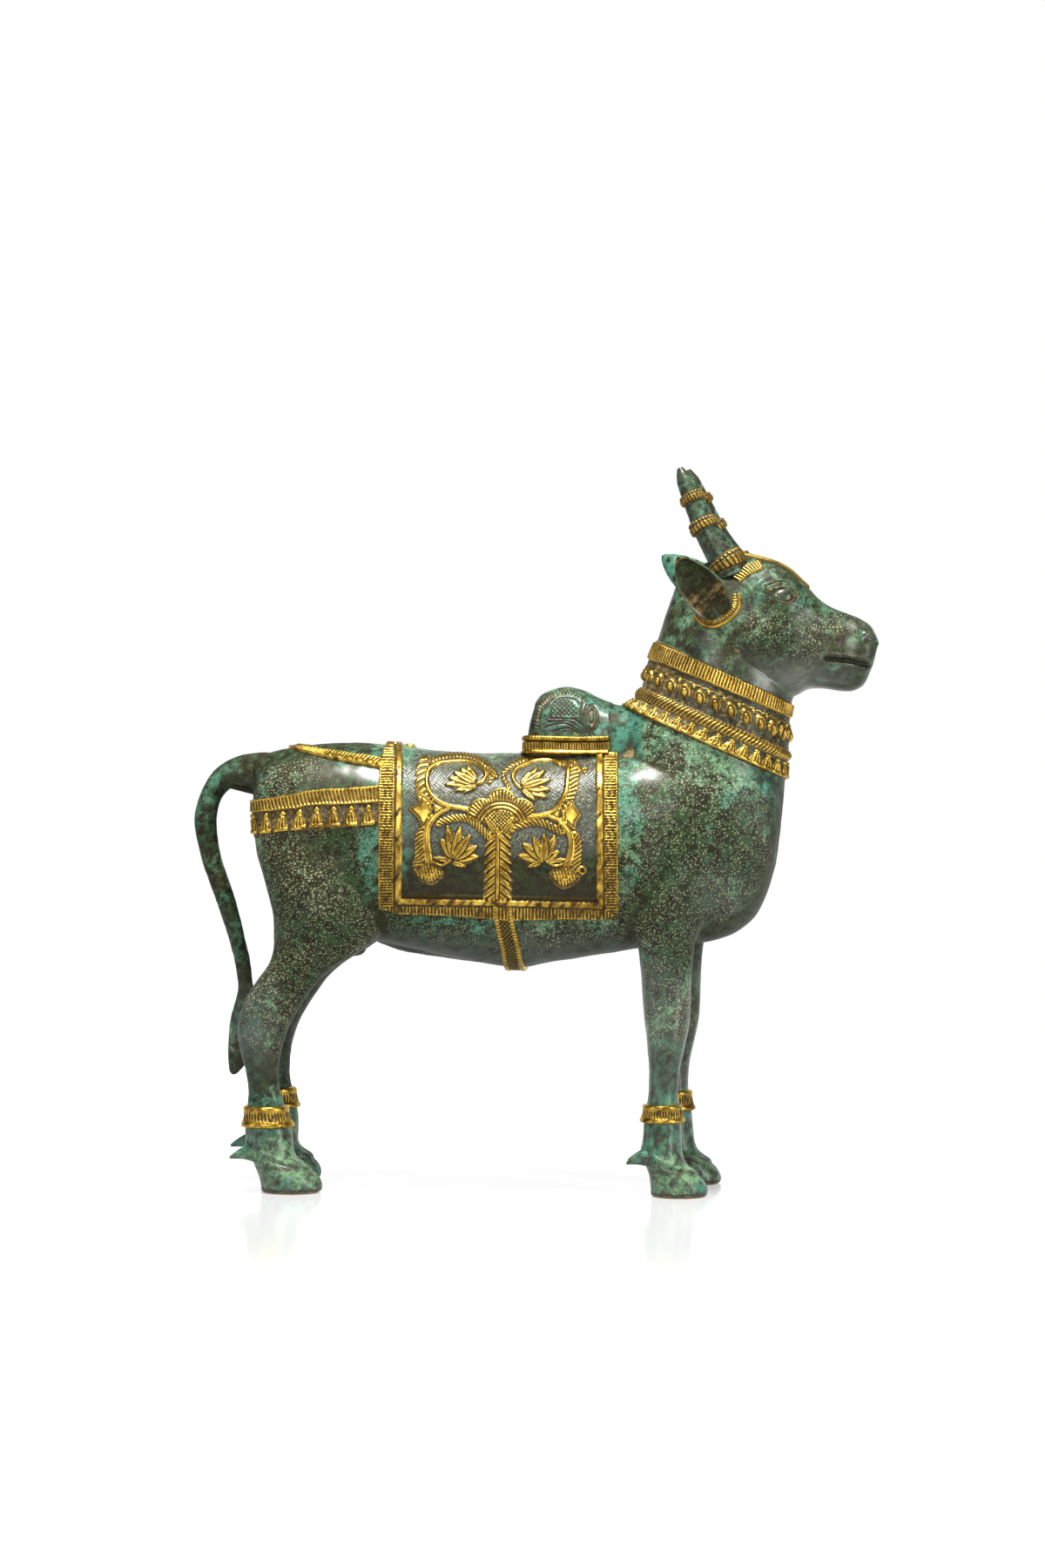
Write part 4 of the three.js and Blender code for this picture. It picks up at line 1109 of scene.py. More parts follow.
def draw_vine(cloth):
    """The barbed stem, a branch with scrolls and two lotuses on each side, and the fan at the fork."""
    cloth.stem([(-15.3, 161), (-15.2, 172), (-15.2, 184), (-15.1, 195.5)], 5.0, 1.2, end=4.2, barbs=5.6,
               pitch=4.5, lean=0.75)

    # Left branch.
    cloth.rope([(-19.9, 193.3), (-24.4, 197.8), (-28.3, 201.7), (-32.8, 203.4), (-38.5, 203.4), (-43, 202.3),
                (-46.9, 200.9)], 4.0, 2.1, 1.0, 1.0)
    cloth.rope([(-55.2, 197.2), (-56.6, 194.4), (-57.0, 190.5), (-57.0, 186), (-57.0, 181.5),
                (-58.9, 178.2)], 5.4, 2.3, 0.8, 0.95)
    cloth.rope([(-55.9, 215.5), (-56.4, 220), (-56.4, 225), (-55.8, 230), (-53.8, 234.5)], 6.2,
               3.6, 0.6, 0.95)
    cloth.rope([(-50, 234.3), (-44, 236.2), (-37, 236.9), (-30, 236.2), (-24.5, 233.9), (-19.5, 229.6),
                (-18.2, 226), (-19.6, 222.3)], 2.6, 1.9, 0.8, 0.9)
    cloth.stem(LEFT_STEM, 3.0, 1.45, end=1.6)
    cloth.stem(LEFT_SCROLL, 2.4, 1.35, end=4.2)
    cloth.petal((-20.5, 229.5), (-14.9, 224.2), 2.4, 1.1)
    cloth.area([(-63.1, 208.4), (-58.5, 204), (-55.1, 197.8), (-51.5, 203.5), (-50.4, 208.3), (-51.5, 212.5),
                (-56, 216.3), (-57.4, 211.5)], 1.15, border=0.8)
    for inner, outer in (((2.1, 3.14), (2.3, 3.14)), ((-3.14, -2.2), (-3.14, -2.4))):
        cloth.ring((-45, 208.3), 7, 1.2, 1.35, inner)
        cloth.ring((-45, 208.3), 9, 1.1, 1.25, outer)
    cloth.area([(-50.3, 211.8), (-43, 208.2), (-49.7, 204.8)], 1.5, border=0.5)
    lotus(cloth, (-27.2, 221.8),
          [(-43.8, 221.1), (-41.9, 224.4), (-39, 227.4), (-35.4, 229.7), (-31.7, 231)], 2.9,
          [((-27, 220.3), (-38.5, 217.6), 1.7), ((-26, 221), (-33.4, 216.6), 1.5)])
    lotus(cloth, (-38.7, 181.8),
          [(-45.7, 192.4), (-42.2, 199.4), (-35.2, 198.9), (-30, 194.6), (-26.2, 188.7), (-25.4, 183.2)], 3.7,
          [((-40.7, 180.9), (-50.3, 182.6), 1.8), ((-40, 180), (-32.4, 178), 1.8)])
    cloth.stem([(-40.7, 181), (-45.4, 178.6), (-50.3, 180.4)], 1.4, 1.2)
    bell(cloth, (-52.3, 180.6), (-60.2, 175), (-44.5, 174.6), (-51.6, 169))

    # Right branch.
    cloth.rope([(-7.3, 197.8), (-3.9, 199.5), (2.3, 201.2), (7.9, 201.2), (13.6, 198.9), (19.2, 196.1)], 3.7,
               2.4, 1.0, 1.0)
    cloth.rope([(26, 194.4), (27.1, 189.9), (27.1, 184.9), (26.7, 180.4), (26.6, 176.5)], 5.4, 2.2, 0.8, 0.95)
    cloth.ring((30.1, 175.9), 1.7, 1.1, 1.1)
    cloth.rope([(27.0, 228.5), (25.6, 224.4), (25.4, 220.4), (24.4, 217), (22.6, 213.2)], 5.4, 2.4, 0.7, 0.95)
    cloth.rope([(8, 236), (2.9, 235.3), (-3.9, 233.4), (-9, 230), (-11.9, 226.7), (-11.2, 223),
                (-9.3, 219.8)], 2.6, 1.9, 0.8, 0.9)
    cloth.stem(RIGHT_STEM, 3.0, 1.45, end=2.6)
    cloth.area([(22.6, 227.6), (16.2, 233), (19, 235.2), (22.3, 233.2), (25.7, 235.2), (28.4, 232.4)], 1.3,
               border=0.5, pitch=1.6)
    cloth.stem(RIGHT_LOOP, 2.4, 1.3, end=1.6)
    cloth.stem(RIGHT_SCROLL, 2.4, 1.35, end=4.0)
    cloth.area([(29.6, 205.1), (26.4, 209.5), (25, 213), (21.2, 210), (20, 205.4), (21.4, 201.4), (26, 197.2),
                (26.8, 201.5)], 1.15, border=0.8)
    for inner, outer in (((0, 1.0), (0, 0.8)), ((-1.0, 0), (-0.8, 0))):
        cloth.ring((13, 205), 7, 1.2, 1.35, inner)
        cloth.ring((13, 205), 9, 1.1, 1.25, outer)
    cloth.area([(12.6, 205), (18.1, 208.3), (18.6, 202.4)], 1.5, border=0.5)
    lotus(cloth, (-2.2, 219.6),
          [(6.3, 229.4), (10.3, 228.2), (13.6, 223.6), (13.2, 218.2), (11.5, 214.1)], 2.9,
          [((-2.4, 218.6), (5.1, 212.4), 1.7), ((-2.8, 220.6), (2.2, 227.6), 1.5)])
    lotus(cloth, (9.8, 181),
          [(-4.4, 183.9), (-1.8, 190.1), (4, 193.4), (9.6, 195.2), (15.7, 194.6), (17.8, 186.4)], 3.7,
          [((8.4, 180), (0.8, 177.6), 1.8), ((11.3, 180.6), (21.4, 181.6), 1.8)])
    cloth.stem([(11.3, 180.5), (16, 178.4), (21, 180)], 1.4, 1.2)
    bell(cloth, (21.5, 178.6), (12.5, 174.6), (28.6, 172.6), (19.8, 167))
    cloth.ring((31.5, 228.6), 1.1, 0.8, 0.8)

    draw_fan(cloth)


def draw_fan(cloth):
    """The fan at the fork: a cross-hatched heart, three arcs and scalloped lobes, rayed from its foot."""
    touched = cloth.near([(-31, 196), (3.5, 221)], 1)
    x, z = cloth.x[touched] - FAN_FOOT[0], cloth.z[touched] - FAN_FOOT[1]
    far, turn = np.hypot(x, z), np.arctan2(z, x)
    lobes = 17.2 + 4.8 * np.abs(np.cos((turn - math.pi / 2) * 3.45)) ** 0.6
    lobes = lobes - 1.2 * np.abs(turn - math.pi / 2) * 0.4
    spread = step(0.34, 0.44, turn) * step(2.8, 2.7, turn)
    hatch = np.maximum(groove((x + z) / 2.0, 0.24), groove((x - z) / 2.0, 0.24)) * (far < 9.9)
    rays = groove(turn * 15.5 / 1.5, 0.27) * (far > 14.8) * (far < lobes - 1.6)
    arcs = sum(peak(far, radius, 0.42) for radius in (10.6, 12.7, 14.6))
    edge = 0.8 * peak(far - lobes, -1.3, 0.35)
    cut = np.clip(np.maximum.reduce([hatch, rays, arcs, edge]), 0, 1) * spread
    cloth.put(touched, 1.5 * spread * step(0.0, 0.6, lobes - far), cut)
    for side in (-1, 1):
        cloth.petal((-14.2 + 1.5 * side, 194.5), (-14.4 + 7.6 * side, 203.4), 1.7, 1.75)


def cloth_bottom(x):
    """The heights of the cloth's lower edge and of the plain line above its ticks."""
    edge = np.interp(x, [-79, -70, -50, -30, -20, -10, 0, 20, 50],
                     [153.2, 152.8, 152, 151, 149.8, 149, 149.3, 150, 150])
    return edge, np.interp(x, [-79, 50], [159.6, 157.4])
def saddle_relief(x, z, full):
    """Rise and finishes of the cloth: a stippled field with the vine, and plain lines and ticked borders.

    `full` draws every flower. Each border is a band outside a plain line: at the back, in front and below.
    """
    cloth = Chasing(x, z)
    if full:
        draw_vine(cloth)
    else:
        draw_plain_vine(cloth)
    edge, line = cloth_bottom(x)
    over = z - line
    points = stacked(x, 0.0, z)
    inner_back, inner_front = CLOTH_LINES

    # Plain lines, the ledge over the lowest one, and the bands outside them.
    back_line = between(x, -70.4, -69.9, -67.1, -66.6)
    front_line = between(x, 37.6, 38.1, 41.1, 41.6)
    low_line = between(over, -1.6, -1.1, 1.2, 1.7) * step(-70.4, -69.9, x) * step(41.6, 41.1, x)
    ledge = between(over, 1.7, 2.1, 3.6, 4.2) * (x > -67) * (x < 38)
    walls = np.maximum.reduce([back_line, front_line, low_line])
    back_band = between(x, -79.9, -79.1, -70.9, -70.2)
    front_band = between(x, 41.3, 41.9, 49.0, 49.7)
    low_band = step(0.0, 0.7, z - edge) * step(-1.2, -1.9, over) * step(-79.9, -79.1, x) * step(49.7, 49.0, x)
    bands = np.maximum.reduce([back_band, front_band, low_band])
    framed = np.maximum(walls, bands)

    # Ticks across the bands, mitred at the two lower corners.
    back_mitre = step(-0.6, 0.6, (over + 1.5) - (x - inner_back) * 0.55)
    front_mitre = step(-0.6, 0.6, (over + 1.5) + (x - inner_front) * 0.55)
    rungs = groove(z / 1.45 + 0.12 * np.sin(z * 0.9), 0.31)
    back_cut = rungs * step(-78.6, -78.0, x) * step(-71.3, -71.9, x) * back_mitre
    front_cut = rungs * step(42.2, 42.8, x) * step(48.8, 48.2, x) * front_mitre
    ticks = groove(x / 1.8 + 0.08 * np.sin(x * 0.7), 0.31)
    low_cut = ticks * step(0.9, 1.5, z - edge) * step(-1.7, -2.3, over) * step(-78.6, -72, x)
    low_cut = low_cut * step(48.8, 43, x) * (z < line - 1.5) * (1 - (x < inner_back) * back_mitre)
    low_cut = low_cut * (1 - (x > inner_front) * front_mitre)
    cuts = np.maximum.reduce([back_cut * back_band, front_cut * front_band, low_cut * low_band])
    seam = peak(x, -70.65, 0.35) + peak(x, 41.75, 0.35)
    seam = seam + peak(over, -1.75, 0.35) * (x > inner_back) * (x < inner_front)

    rise = FIELD_RISE + cloth.rise
    border = np.maximum(FIELD_RISE * (1 - framed), 0) + 2.15 * bands + 2.5 * walls * (1 - bands)
    rise = np.where(framed > 0.02, border, rise)
    rise = np.maximum(rise, 1.25 * ledge) - 1.0 * cuts
    outside = np.maximum.reduce([step(-79.2, -80.0, x), step(49.0, 49.8, x), step(0.6, -0.3, z - edge)])
    rise = rise * (1 - outside) - 1.3 * outside - 0.7 * np.clip(seam, 0, 1)
    stipple = np.sin(x * 3.5 + 0.9 * np.sin(z * 1.3)) * np.sin(z * 3.6 + 0.9 * np.sin(x * 1.1))
    field = (1 - step(0.05, 0.3, cloth.rise)) * (1 - framed)
    rise = rise + field * (0.16 * stipple * step(181, 185, z) + 0.12 * wavy(points, 5, 3))

    # The ledge's gilding is partly a painted highlight along the lip of the field.
    metal = np.maximum.reduce([cloth.gilt * (1 - framed), framed, 0.75 * ledge])
    cut = np.clip(np.maximum.reduce([cloth.cut * (1 - framed), cuts, seam]), 0, 1)
    metal = metal * (1 - 0.92 * cut) * (1 - 0.35 * step(0.25, 0.9, wavy(points, 19, 5))) * (1 - outside)
    # Painted shade: the field is darkened right beside the raised ornament.
    painted_shade_beside = field * step(0.0, 0.05, blurred(cloth.rise, 3))
    stained = 0.35 * framed * step(-0.1, 0.8, wavy(points, 9, 2)) + 0.12 * framed * step(215, 165, z)
    stained = stained + 0.35 * walls * step(-0.3, 0.6, wavy(points, 14, 8))
    dirt = 0.4 * field + 0.25 * (step(178, 166, z) * field) + 0.35 * painted_shade_beside + 0.9 * cut + stained
    teal = field * (0.3 * step(226, 240, z) + 0.3 * step(-58, -64, x) + 0.2 * wavy(points, 18, 7))
    smoke = field * step(181, 186, z) * 0.45
    speck = 0.6 * field * step(181, 190, z)
    return rise, dict(gilt=metal, dirt=dirt, teal=teal, smoke=smoke, speck=speck, wax=0.25 + 0.3 * smoke)
def draw_plain_vine(cloth):
    """The plainer vine of the hidden side: a stem, two branches with scrolls and a lotus each, and a fan."""
    cloth.stem([(-15.3, 161), (-15.2, 178), (-15.1, 196)], 6.0, 1.2, barbs=4.6, pitch=5.2, end=4.6, lean=0.6)
    cloth.stem(LEFT_STEM, 3.2, 1.3, end=1.8)
    cloth.stem(LEFT_SCROLL, 2.6, 1.3, end=4.0)
    cloth.stem(RIGHT_STEM, 3.2, 1.3, end=2.6)
    cloth.stem(RIGHT_LOOP, 2.6, 1.3, end=1.8)
    cloth.stem(RIGHT_SCROLL, 2.6, 1.3, end=4.0)
    for base, tips in (((-38.7, 181.8), [(-45.7, 192.4), (-38.5, 199), (-30, 194.6), (-25.4, 184.2)]),
                       ((9.8, 181), [(-4.4, 184.9), (2, 193), (10.6, 195.2), (17.8, 187.4)])):
        lotus(cloth, base, tips, 4.2)
    for turn in np.linspace(0.5, 2.64, 5):
        tip = (FAN_FOOT[0] + 21 * math.cos(turn), FAN_FOOT[1] + 21 * math.sin(turn))
        cloth.petal(FAN_FOOT, tip, 4.6, 1.3)


def trunk_patch(x, angle):
    """Points of the trunk at lengths x and at angles round its section, 0 being the spine."""
    stations = np.array(TRUNK)[:, 0]
    place = np.interp(x, stations, np.arange(len(TRUNK)))
    return section(row_at(TRUNK, place), angle, TRUNK_POWER)


def even_angles(x, first, last, count):
    """Angles round the trunk at x between two angles, at even arc lengths."""
    dense = np.linspace(first, last, 2000)
    arc = arc_length(trunk_patch(np.full(dense.shape, x), dense))
    return np.interp(np.linspace(0, arc[-1], count), arc, dense)
def build_saddle():
    """The cloth over the back, as a near and a far patch of the trunk that meet along the spine.

    Each patch is a grid of even steps along the trunk and round its section, laid on the body where that is
    close by and raised by the chased relief.
    """
    for name, side, rows, columns in (("saddle_near", -1, 268, 318), ("saddle_far", 1, 214, 252)):
        angle = even_angles(-15.0, -side * 0.03, side * 2.2, rows)[:, None]
        x = np.linspace(-81.5, 51.5, columns)[None]
        shape = (rows, columns)
        wanted = trunk_patch(np.broadcast_to(x, shape), np.broadcast_to(angle, shape))
        start = stacked(x + 0 * angle, 0.0, 190.0)
        base = cast(start, wanted - start, "body")
        off = np.linalg.norm(base - wanted, axis=-1, keepdims=True)
        base = blurred(np.where(off < 1.5, base, wanted), 2)
        sx, sz = seen(base, NEAR_CLOTH_Y) if side < 0 else (base[..., 0], base[..., 2])
        rise, amounts = saddle_relief(sx, sz, side < 0)
        relief(name, base, rise, [[-15, 0, 190]], **amounts)
# Belt, girth, straps, hump and brow

def ring_rays(first, turn_at, step_size, reach):
    """Rays round a stadium open at the front: their starts along x, and the x and y of their directions.

    They go from `first` back to `turn_at` on the near side, fan out round that point, and come forward on the
    far side.
    """
    straight = np.arange(first, turn_at, -step_size)
    bend = np.linspace(0, math.pi, int(math.pi * reach / step_size))
    x = np.concatenate([straight, np.full(len(bend), turn_at), straight[::-1]])
    dx = np.concatenate([0 * straight, -np.sin(bend), 0 * straight])
    dy = np.concatenate([-1 + 0 * straight, -np.cos(bend), 1 + 0 * straight])
    return x, dx, dy
def round_patch(x, dx, dy, heights, least=0.0):
    """Where rays from the middle plane leave the body at each height; a ray starts no lower than `least`."""
    z = np.broadcast_to(heights[:, None], (len(heights), len(x)))
    met = cast(stacked(x[None], 0.0, np.maximum(z, least)), stacked(dx[None], dy[None], 0.0), "body")
    met[..., 2] = z
    return blurred(met, 3)
def arc_length(curve):
    """How far along a curve each of its points lies."""
    return np.concatenate([[0], np.cumsum(np.linalg.norm(np.diff(curve, axis=0), axis=1))])
def build_belts():
    """The belt round the hump's foot and the girth under the belly, as ticked bands with plain rims."""
    heights = np.linspace(235.5, 250.2, 46)
    base = round_patch(*ring_rays(44.0, 14.0, RAY_STEP, 24), heights, 243.0)
    s = arc_length(base[25])[None]
    z = heights[:, None] + 0.25 * np.sin(s / 9.0)
    rims = 3.3 * dome((z - 246.6) / 1.5) ** 0.5
    beadwork = 0.35 * groove(s / 1.5, 0.3) * step(1.4, 0.8, np.abs(z - 246.6))
    band = between(z, 239.9, 240.5, 244.5, 245.0)
    ticks = groove(s / 1.42, 0.27) * step(240.4, 240.9, z) * step(244.7, 244.2, z)
    foot = 3.4 * dome((z - 239.2) / 1.25) ** 0.5
    rise = np.maximum.reduce([rims - beadwork, band * (2.7 - 0.7 * ticks), foot])
    rise = rise - 1.5 * step(237.6, 236.8, z) - 1.5 * step(248.3, 249.2, z)
    cuts = np.clip(ticks + 0.8 * beadwork, 0, 1)
    lit = step(0.5, 1.4, rise)
    relief("hump_belt", base, rise, [[16, 0, 243]], gilt=lit * (1 - 0.9 * cuts),
           dirt=0.9 * cuts + 0.9 * (1 - lit) + 0.1, wax=0.3)

    start, end = -1.9, -2 * math.pi + 1.9
    angle = np.linspace(start, end, 430)[:, None]
    across = np.linspace(-7.0, 7.0, 44)[None]
    low = step(start, -2.5, angle) * step(end, -2 * math.pi + 2.5, angle)
    base = blurred(trunk_patch(-12.6 + 3.2 * low + across, np.broadcast_to(angle, (430, 44))), 2)
    s = arc_length(base[:, 22])[:, None]
    off = np.abs(across)
    edge = step(5.6, 5.0, off)
    border = step(2.9, 3.4, off)
    cross = np.maximum(groove((s + across * 1.1) / 2.6, 0.22), groove((s - across * 1.1) / 2.6, 0.22))
    cross = cross * (off < 2.9)
    ticks = groove(s / 1.9, 0.25) * border * (off < 4.9)
    rise = edge * (1.5 + 0.45 * border - 0.5 * cross - 0.35 * ticks) - 1.3 * (1 - edge)
    relief("girth", base, rise, [[-10, 0, 170]],
           gilt=edge * (0.45 + 0.5 * border) * (1 - 0.8 * np.maximum(cross, ticks)),
           dirt=0.36 + 0.4 * cross + 0.4 * ticks - 0.25 * border, wax=0.2)
# The croup straps' middle line seen from above; and how high the rump strap's upper edge, its width and the
# line its tassels end on are, by the distance behind the origin.
CROUP_PATH = [(-76, 34.0), (-86, 32.6), (-95, 31.2), (-106, 28.6), (-116, 25.0), (-124.5, 19.0),
              (-130.5, 11.0), (-133, 1.0)]
STRAP_TOP = ([78, 90, 100, 110, 120, 124, 130, 138, 146, 156],
             [221.2, 220.3, 219.6, 219.3, 218.3, 217.0, 216.3, 214.8, 213.9, 213.2])
STRAP_WIDTH = ([78, 110, 125, 146], [9.6, 9.0, 8.6, 7.2])
STRAP_FOOT = ([78, 85, 100, 110, 130, 140, 145, 153], [199.5, 199, 198, 197, 196, 194.5, 192.7, 192.5])


def build_straps():
    """The rump strap with its tassels, from flank to flank round behind, and the two croup straps."""
    base = round_patch(*ring_rays(-76.5, -112.0, RAY_STEP, 47), np.linspace(187.5, 223.5, 88))
    s = arc_length(base[50])[None]
    s = np.minimum(s, s.max() - s)
    z = base[..., 2]
    back = -np.minimum(base[..., 0], -76.5)
    top = np.interp(back, *STRAP_TOP)
    low = top - np.interp(back, *STRAP_WIDTH)
    t = (z - low) / (top - low)
    band = between(t, 0.0, 0.07, 0.93, 1.0)
    rims = peak(t, 0.9, 0.075) + peak(t, 0.08, 0.06)
    ticks = groove((s + (1 - t) * 3.0 * step(2, 30, s + 8)) / STRAP_TICK, 0.3) * step(0.1, 0.2, t)
    ticks = ticks * step(0.86, 0.78, t)
    strap = band * (1.75 + 0.3 * np.clip(rims, 0, 1) - 0.8 * ticks)
    hang = ((s - 8.5 + STRAP_TASSEL / 2) % STRAP_TASSEL) - STRAP_TASSEL / 2
    drop_rise, pleats = (amount * step(3.0, 3.8, s) for amount in tassel(hang, low - 0.4 - z, 11.4, 3.9))
    foot = z - np.interp(back, *STRAP_FOOT)
    rise = np.maximum.reduce([strap, drop_rise, 0.5 * step(-0.5, 0.6, foot) + 0.1 * wavy(base, 8, 1)])
    out = np.clip(step(0.4, -0.6, foot) * (drop_rise < 0.1) + step(0.98, 1.05, t), 0, 1)
    metal = np.clip(step(0.5, 1.1, np.maximum(strap, drop_rise)), 0, 1)
    cuts = np.clip(np.maximum(ticks * band, pleats), 0, 1)
    rub = step(0.3, 0.9, wavy(base, 17, 8))
    relief("rump_strap", base, rise * (1 - out) - 1.2 * out, [[-112, 0, 205]],
           gilt=metal * (1 - 0.9 * cuts) * (1 - 0.3 * rub), dirt=0.85 * (1 - metal) + 0.9 * cuts + 0.2 * rub,
           wax=0.25)

    for name, side in (("near_croup_strap", -1), ("far_croup_strap", 1)):
        across = np.linspace(-3.6, 3.6, 26)[:, None]
        px, py = strip_points(smooth_path(CROUP_PATH, 64), across)
        base = blurred(cast(stacked(px, side * py, 262.0), (0, 0, -1.0), "body"), 2)
        s = arc_length(base[13])[None]
        off = np.abs(across)
        edge = step(3.1, 2.6, off)
        bare = step(36.5, 38.5, s)
        ticks = groove((s + across * 0.8) / 2.1, 0.28) * step(2.4, 2.0, off)
        ticks = ticks * np.maximum(bare, step(0.0, 0.5, across))
        seeds = dome(np.hypot(((s - 1.6) % 5.9 - 2.95) / 2.6, (across + 1.5) / 1.7)) * (1 - bare) * (s > 1.6)
        rise = edge * (1.5 + 0.35 * peak(off, 2.4, 0.4) - 0.65 * ticks + 0.9 * seeds) - 1.2 * (1 - edge)
        rub = step(0.1, 0.8, wavy(base, 12, 8))
        relief(name, base, rise, [[-108, side * 8, 215]], gilt=edge * (1 - 0.9 * ticks) * (1 - 0.45 * rub),
               dirt=0.9 * ticks + 0.4 * rub + 0.8 * (1 - edge), teal=0.1, wax=0.25)
HUMP_SCROLL = [(3.2, 250), (3.6, 258), (6, 264.6), (10, 269), (15, 271.3), (21, 271.8), (27, 269.3)]
HUMP_LINES = [
    [(10.5, 258), (12, 264), (15, 267.5), (20, 268.5), (25, 267.5), (27, 265)],
    [(11, 257.5), (23, 257), (27, 255), (31, 250.5)],
    [(10, 255.5), (20, 256), (26, 253.5), (30.5, 249.5)],
    [(8, 252.5), (14, 254.5), (20, 254.5), (26, 251.5), (29, 249.5)],
    [(13, 250.5), (20, 252.3), (28, 249)],
    [(28.5, 266), (27.5, 260), (28.5, 255), (33, 248)],
    [(31, 264.5), (29.5, 259), (31, 253), (35, 248.5)],
    [(4.6, 249), (5.2, 253), (4.8, 258), (6.6, 263.4), (10.2, 267.2), (15, 270)],
    [(1.8, 249), (2.2, 254), (2.6, 260), (4.8, 266), (9, 270)],
]


def strip_points(path, across):
    """The two coordinates of a strip's points: each path point moved across its own direction."""
    along = unit(np.gradient(path, axis=0))
    return path[None, :, 0] - across * along[None, :, 1], path[None, :, 1] + across * along[None, :, 0]


def build_hump():
    """The engraved skin of the hump: a thin film into which lines, a latticed panel and a scroll are cut."""
    for name, side in (("hump_near", -1), ("hump_far", 1)):
        x = np.linspace(0.4, 46.0, 128)[None]
        turn = np.linspace(-0.06, 1.66, 128)[:, None]
        rays = stacked(0.0 * x, side * np.sin(turn), np.cos(turn))
        base = blurred(cast(stacked(x, 0.0 * turn, 241.0), rays, "body"), 2)
        sx, sz = seen(base, NEAR_HUMP_Y) if side < 0 else (base[..., 0], base[..., 2])
        cuts = [line_peak(sx, sz, line, 0.42, 5) for line in HUMP_LINES]
        panel = step(10.8, 11.6, sx) * step(26.6, 25.6, sx) * step(258.4, 259.0, sz)
        panel = panel * step(1.0, 0.93, np.hypot((sx - 18.5) / 8.4, (sz - 258) / 10.0))
        cuts.append(panel * np.maximum(groove((sx + sz) / 2.5, 0.2), groove((sx - sz) / 2.5, 0.2)))
        scroll, along, _ = path_distance(sx, sz, smooth_path(HUMP_SCROLL, 6))
        cuts.append(groove(along / 1.9 + scroll * 0.5, 0.26) * step(1.7, 1.3, scroll))
        rayed = groove(np.arctan2(sz - 245, sx - 21) * 9.5, 0.2) * step(5.4, 6.2, np.hypot(sx - 21, sz - 245))
        cuts.append(rayed * step(251.2, 250.4, sz) * step(11, 13, sx) * step(31, 29, sx))
        oval = np.hypot((sx - 33.6) / 3.3, (sz - 257.6) / 6.8)
        cuts += [peak(oval, 1, 0.13), peak(oval, 0.5, 0.16)]
        cut = np.clip(np.maximum.reduce(cuts), 0, 1) * step(247.0, 248.5, sz)
        boss = 0.45 * dome(oval) + 0.35 * step(1.8, 1.3, scroll)
        edge = between(sx, 0.4, 3.4, 42.5, 46)
        relief(name, base, edge * (0.5 + boss - 0.62 * cut) - 1.0 * (1 - edge), [[20, 0, 243]],
               gilt=0.5 * spot(base, 26, 249.5, 3.4, 1.6) * (1 - cut), dirt=0.95 * cut + 0.12,
               teal=0.42 + 0.35 * wavy(base, 16, 3) - 0.8 * cut, speck=0.25, wax=0.35, smoke=0.15)
def head_band(name, path, width, side, profile):
    """A band along a side-view path on the head: rays from its own side meet the skin at each grid point."""
    across = np.linspace(-1, 1, 26)[:, None] * (width / 2 + 1.0)
    px, pz = strip_points(smooth_path(path, 26), across)
    base = cast(stacked(px, side * 70.0, pz), (0, -side, 0.0), "head")
    lost = np.abs(base[..., 1]) > 60
    base[..., 1] = np.where(lost, np.median(base[..., 1]), base[..., 1])
    base = blurred(base, 2)
    off = np.abs(across)
    rise, cut = profile(arc_length(base[13])[None], across, off)
    edge = step(width / 2 + 0.35, width / 2 - 0.1, off)
    inner = base.reshape(-1, 3).mean(0) * (1, 0.4, 1) - (0, 0, 6)
    relief(name, base, rise * edge - 1.0 * (1 - edge), [inner], gilt=edge * (1 - 0.9 * cut),
           dirt=0.9 * cut + 0.2, wax=0.25)
BROW_BAND = [(111.4, 332.2), (115.4, 335.8), (120.2, 338.8), (127.2, 341.3)]
EAR_CRESCENT = [(111.6, 324.6), (111.9, 317.8), (108.6, 313.2), (103.8, 309.9), (99.0, 308.4), (94.2, 310.0),
                (90.2, 314.2)]
# How far back and up the far crescent lies, under the far ear.
FAR_CRESCENT_SHIFT = (6.0, 7.5)


def brow_ticks(s, across, off):
    """The rise and cuts of a brow band: slanted ticks, and a taper towards its end."""
    cut = groove((s + 0.35 * across) / 1.8, 0.33) * step(2.3, 2.0, off)
    taper = step(s.max(), s.max() * 0.8, s)
    return (1.35 - 0.7 * cut) * taper - 0.8 * (1 - taper), cut


def crescent(s, across, off):
    """The rise and cuts of a crescent: a rounded band with ticks below a seam."""
    cut = np.maximum(groove(s / 1.5, 0.26) * (across < 0.2) * (across > -1.9), 0.9 * peak(across, 0.5, 0.3))
    return 1.7 * dome(off / 2.8) ** 0.5 - 0.5 * cut, cut


def build_brow():
    """Gilded bands on the head: one over each brow, a crescent below each ear, a strip down the forehead."""
    for word, side in (("near", -1), ("far", 1)):
        head_band(word + "_brow_band", BROW_BAND, 4.8, side, brow_ticks)
        back, up = (0.0, 0.0) if side < 0 else FAR_CRESCENT_SHIFT
        head_band(word + "_ear_crescent", [(x - back, z + up) for x, z in EAR_CRESCENT], 4.6, side, crescent)

    x = np.linspace(112.0, 152.5, 130)[None]
    y = np.linspace(-8.6, 8.6, 60)[:, None]
    half = 6.6 - 2.6 * step(124, 152, x)
    base = blurred(cast(stacked(x, y * half / 7.6, 380.0), (0, 0, -1.0), "head"), 2)
    off = np.abs(y)
    edge = step(8.0, 7.3, off) * step(151.6, 150.2, x) * step(112.4, 113.6, x)
    cut = peak(off, 5.9, 0.35)
    rise = edge * (1.0 + 0.25 * dome(off / 7.6) - 0.35 * cut) - 1.0 * (1 - edge)
    relief("forehead_strip", base, rise, [[128, 0, 325]], gilt=edge * (0.8 - 0.5 * cut),
           dirt=0.25 + 0.5 * cut + 0.6 * (1 - edge), wax=0.4)
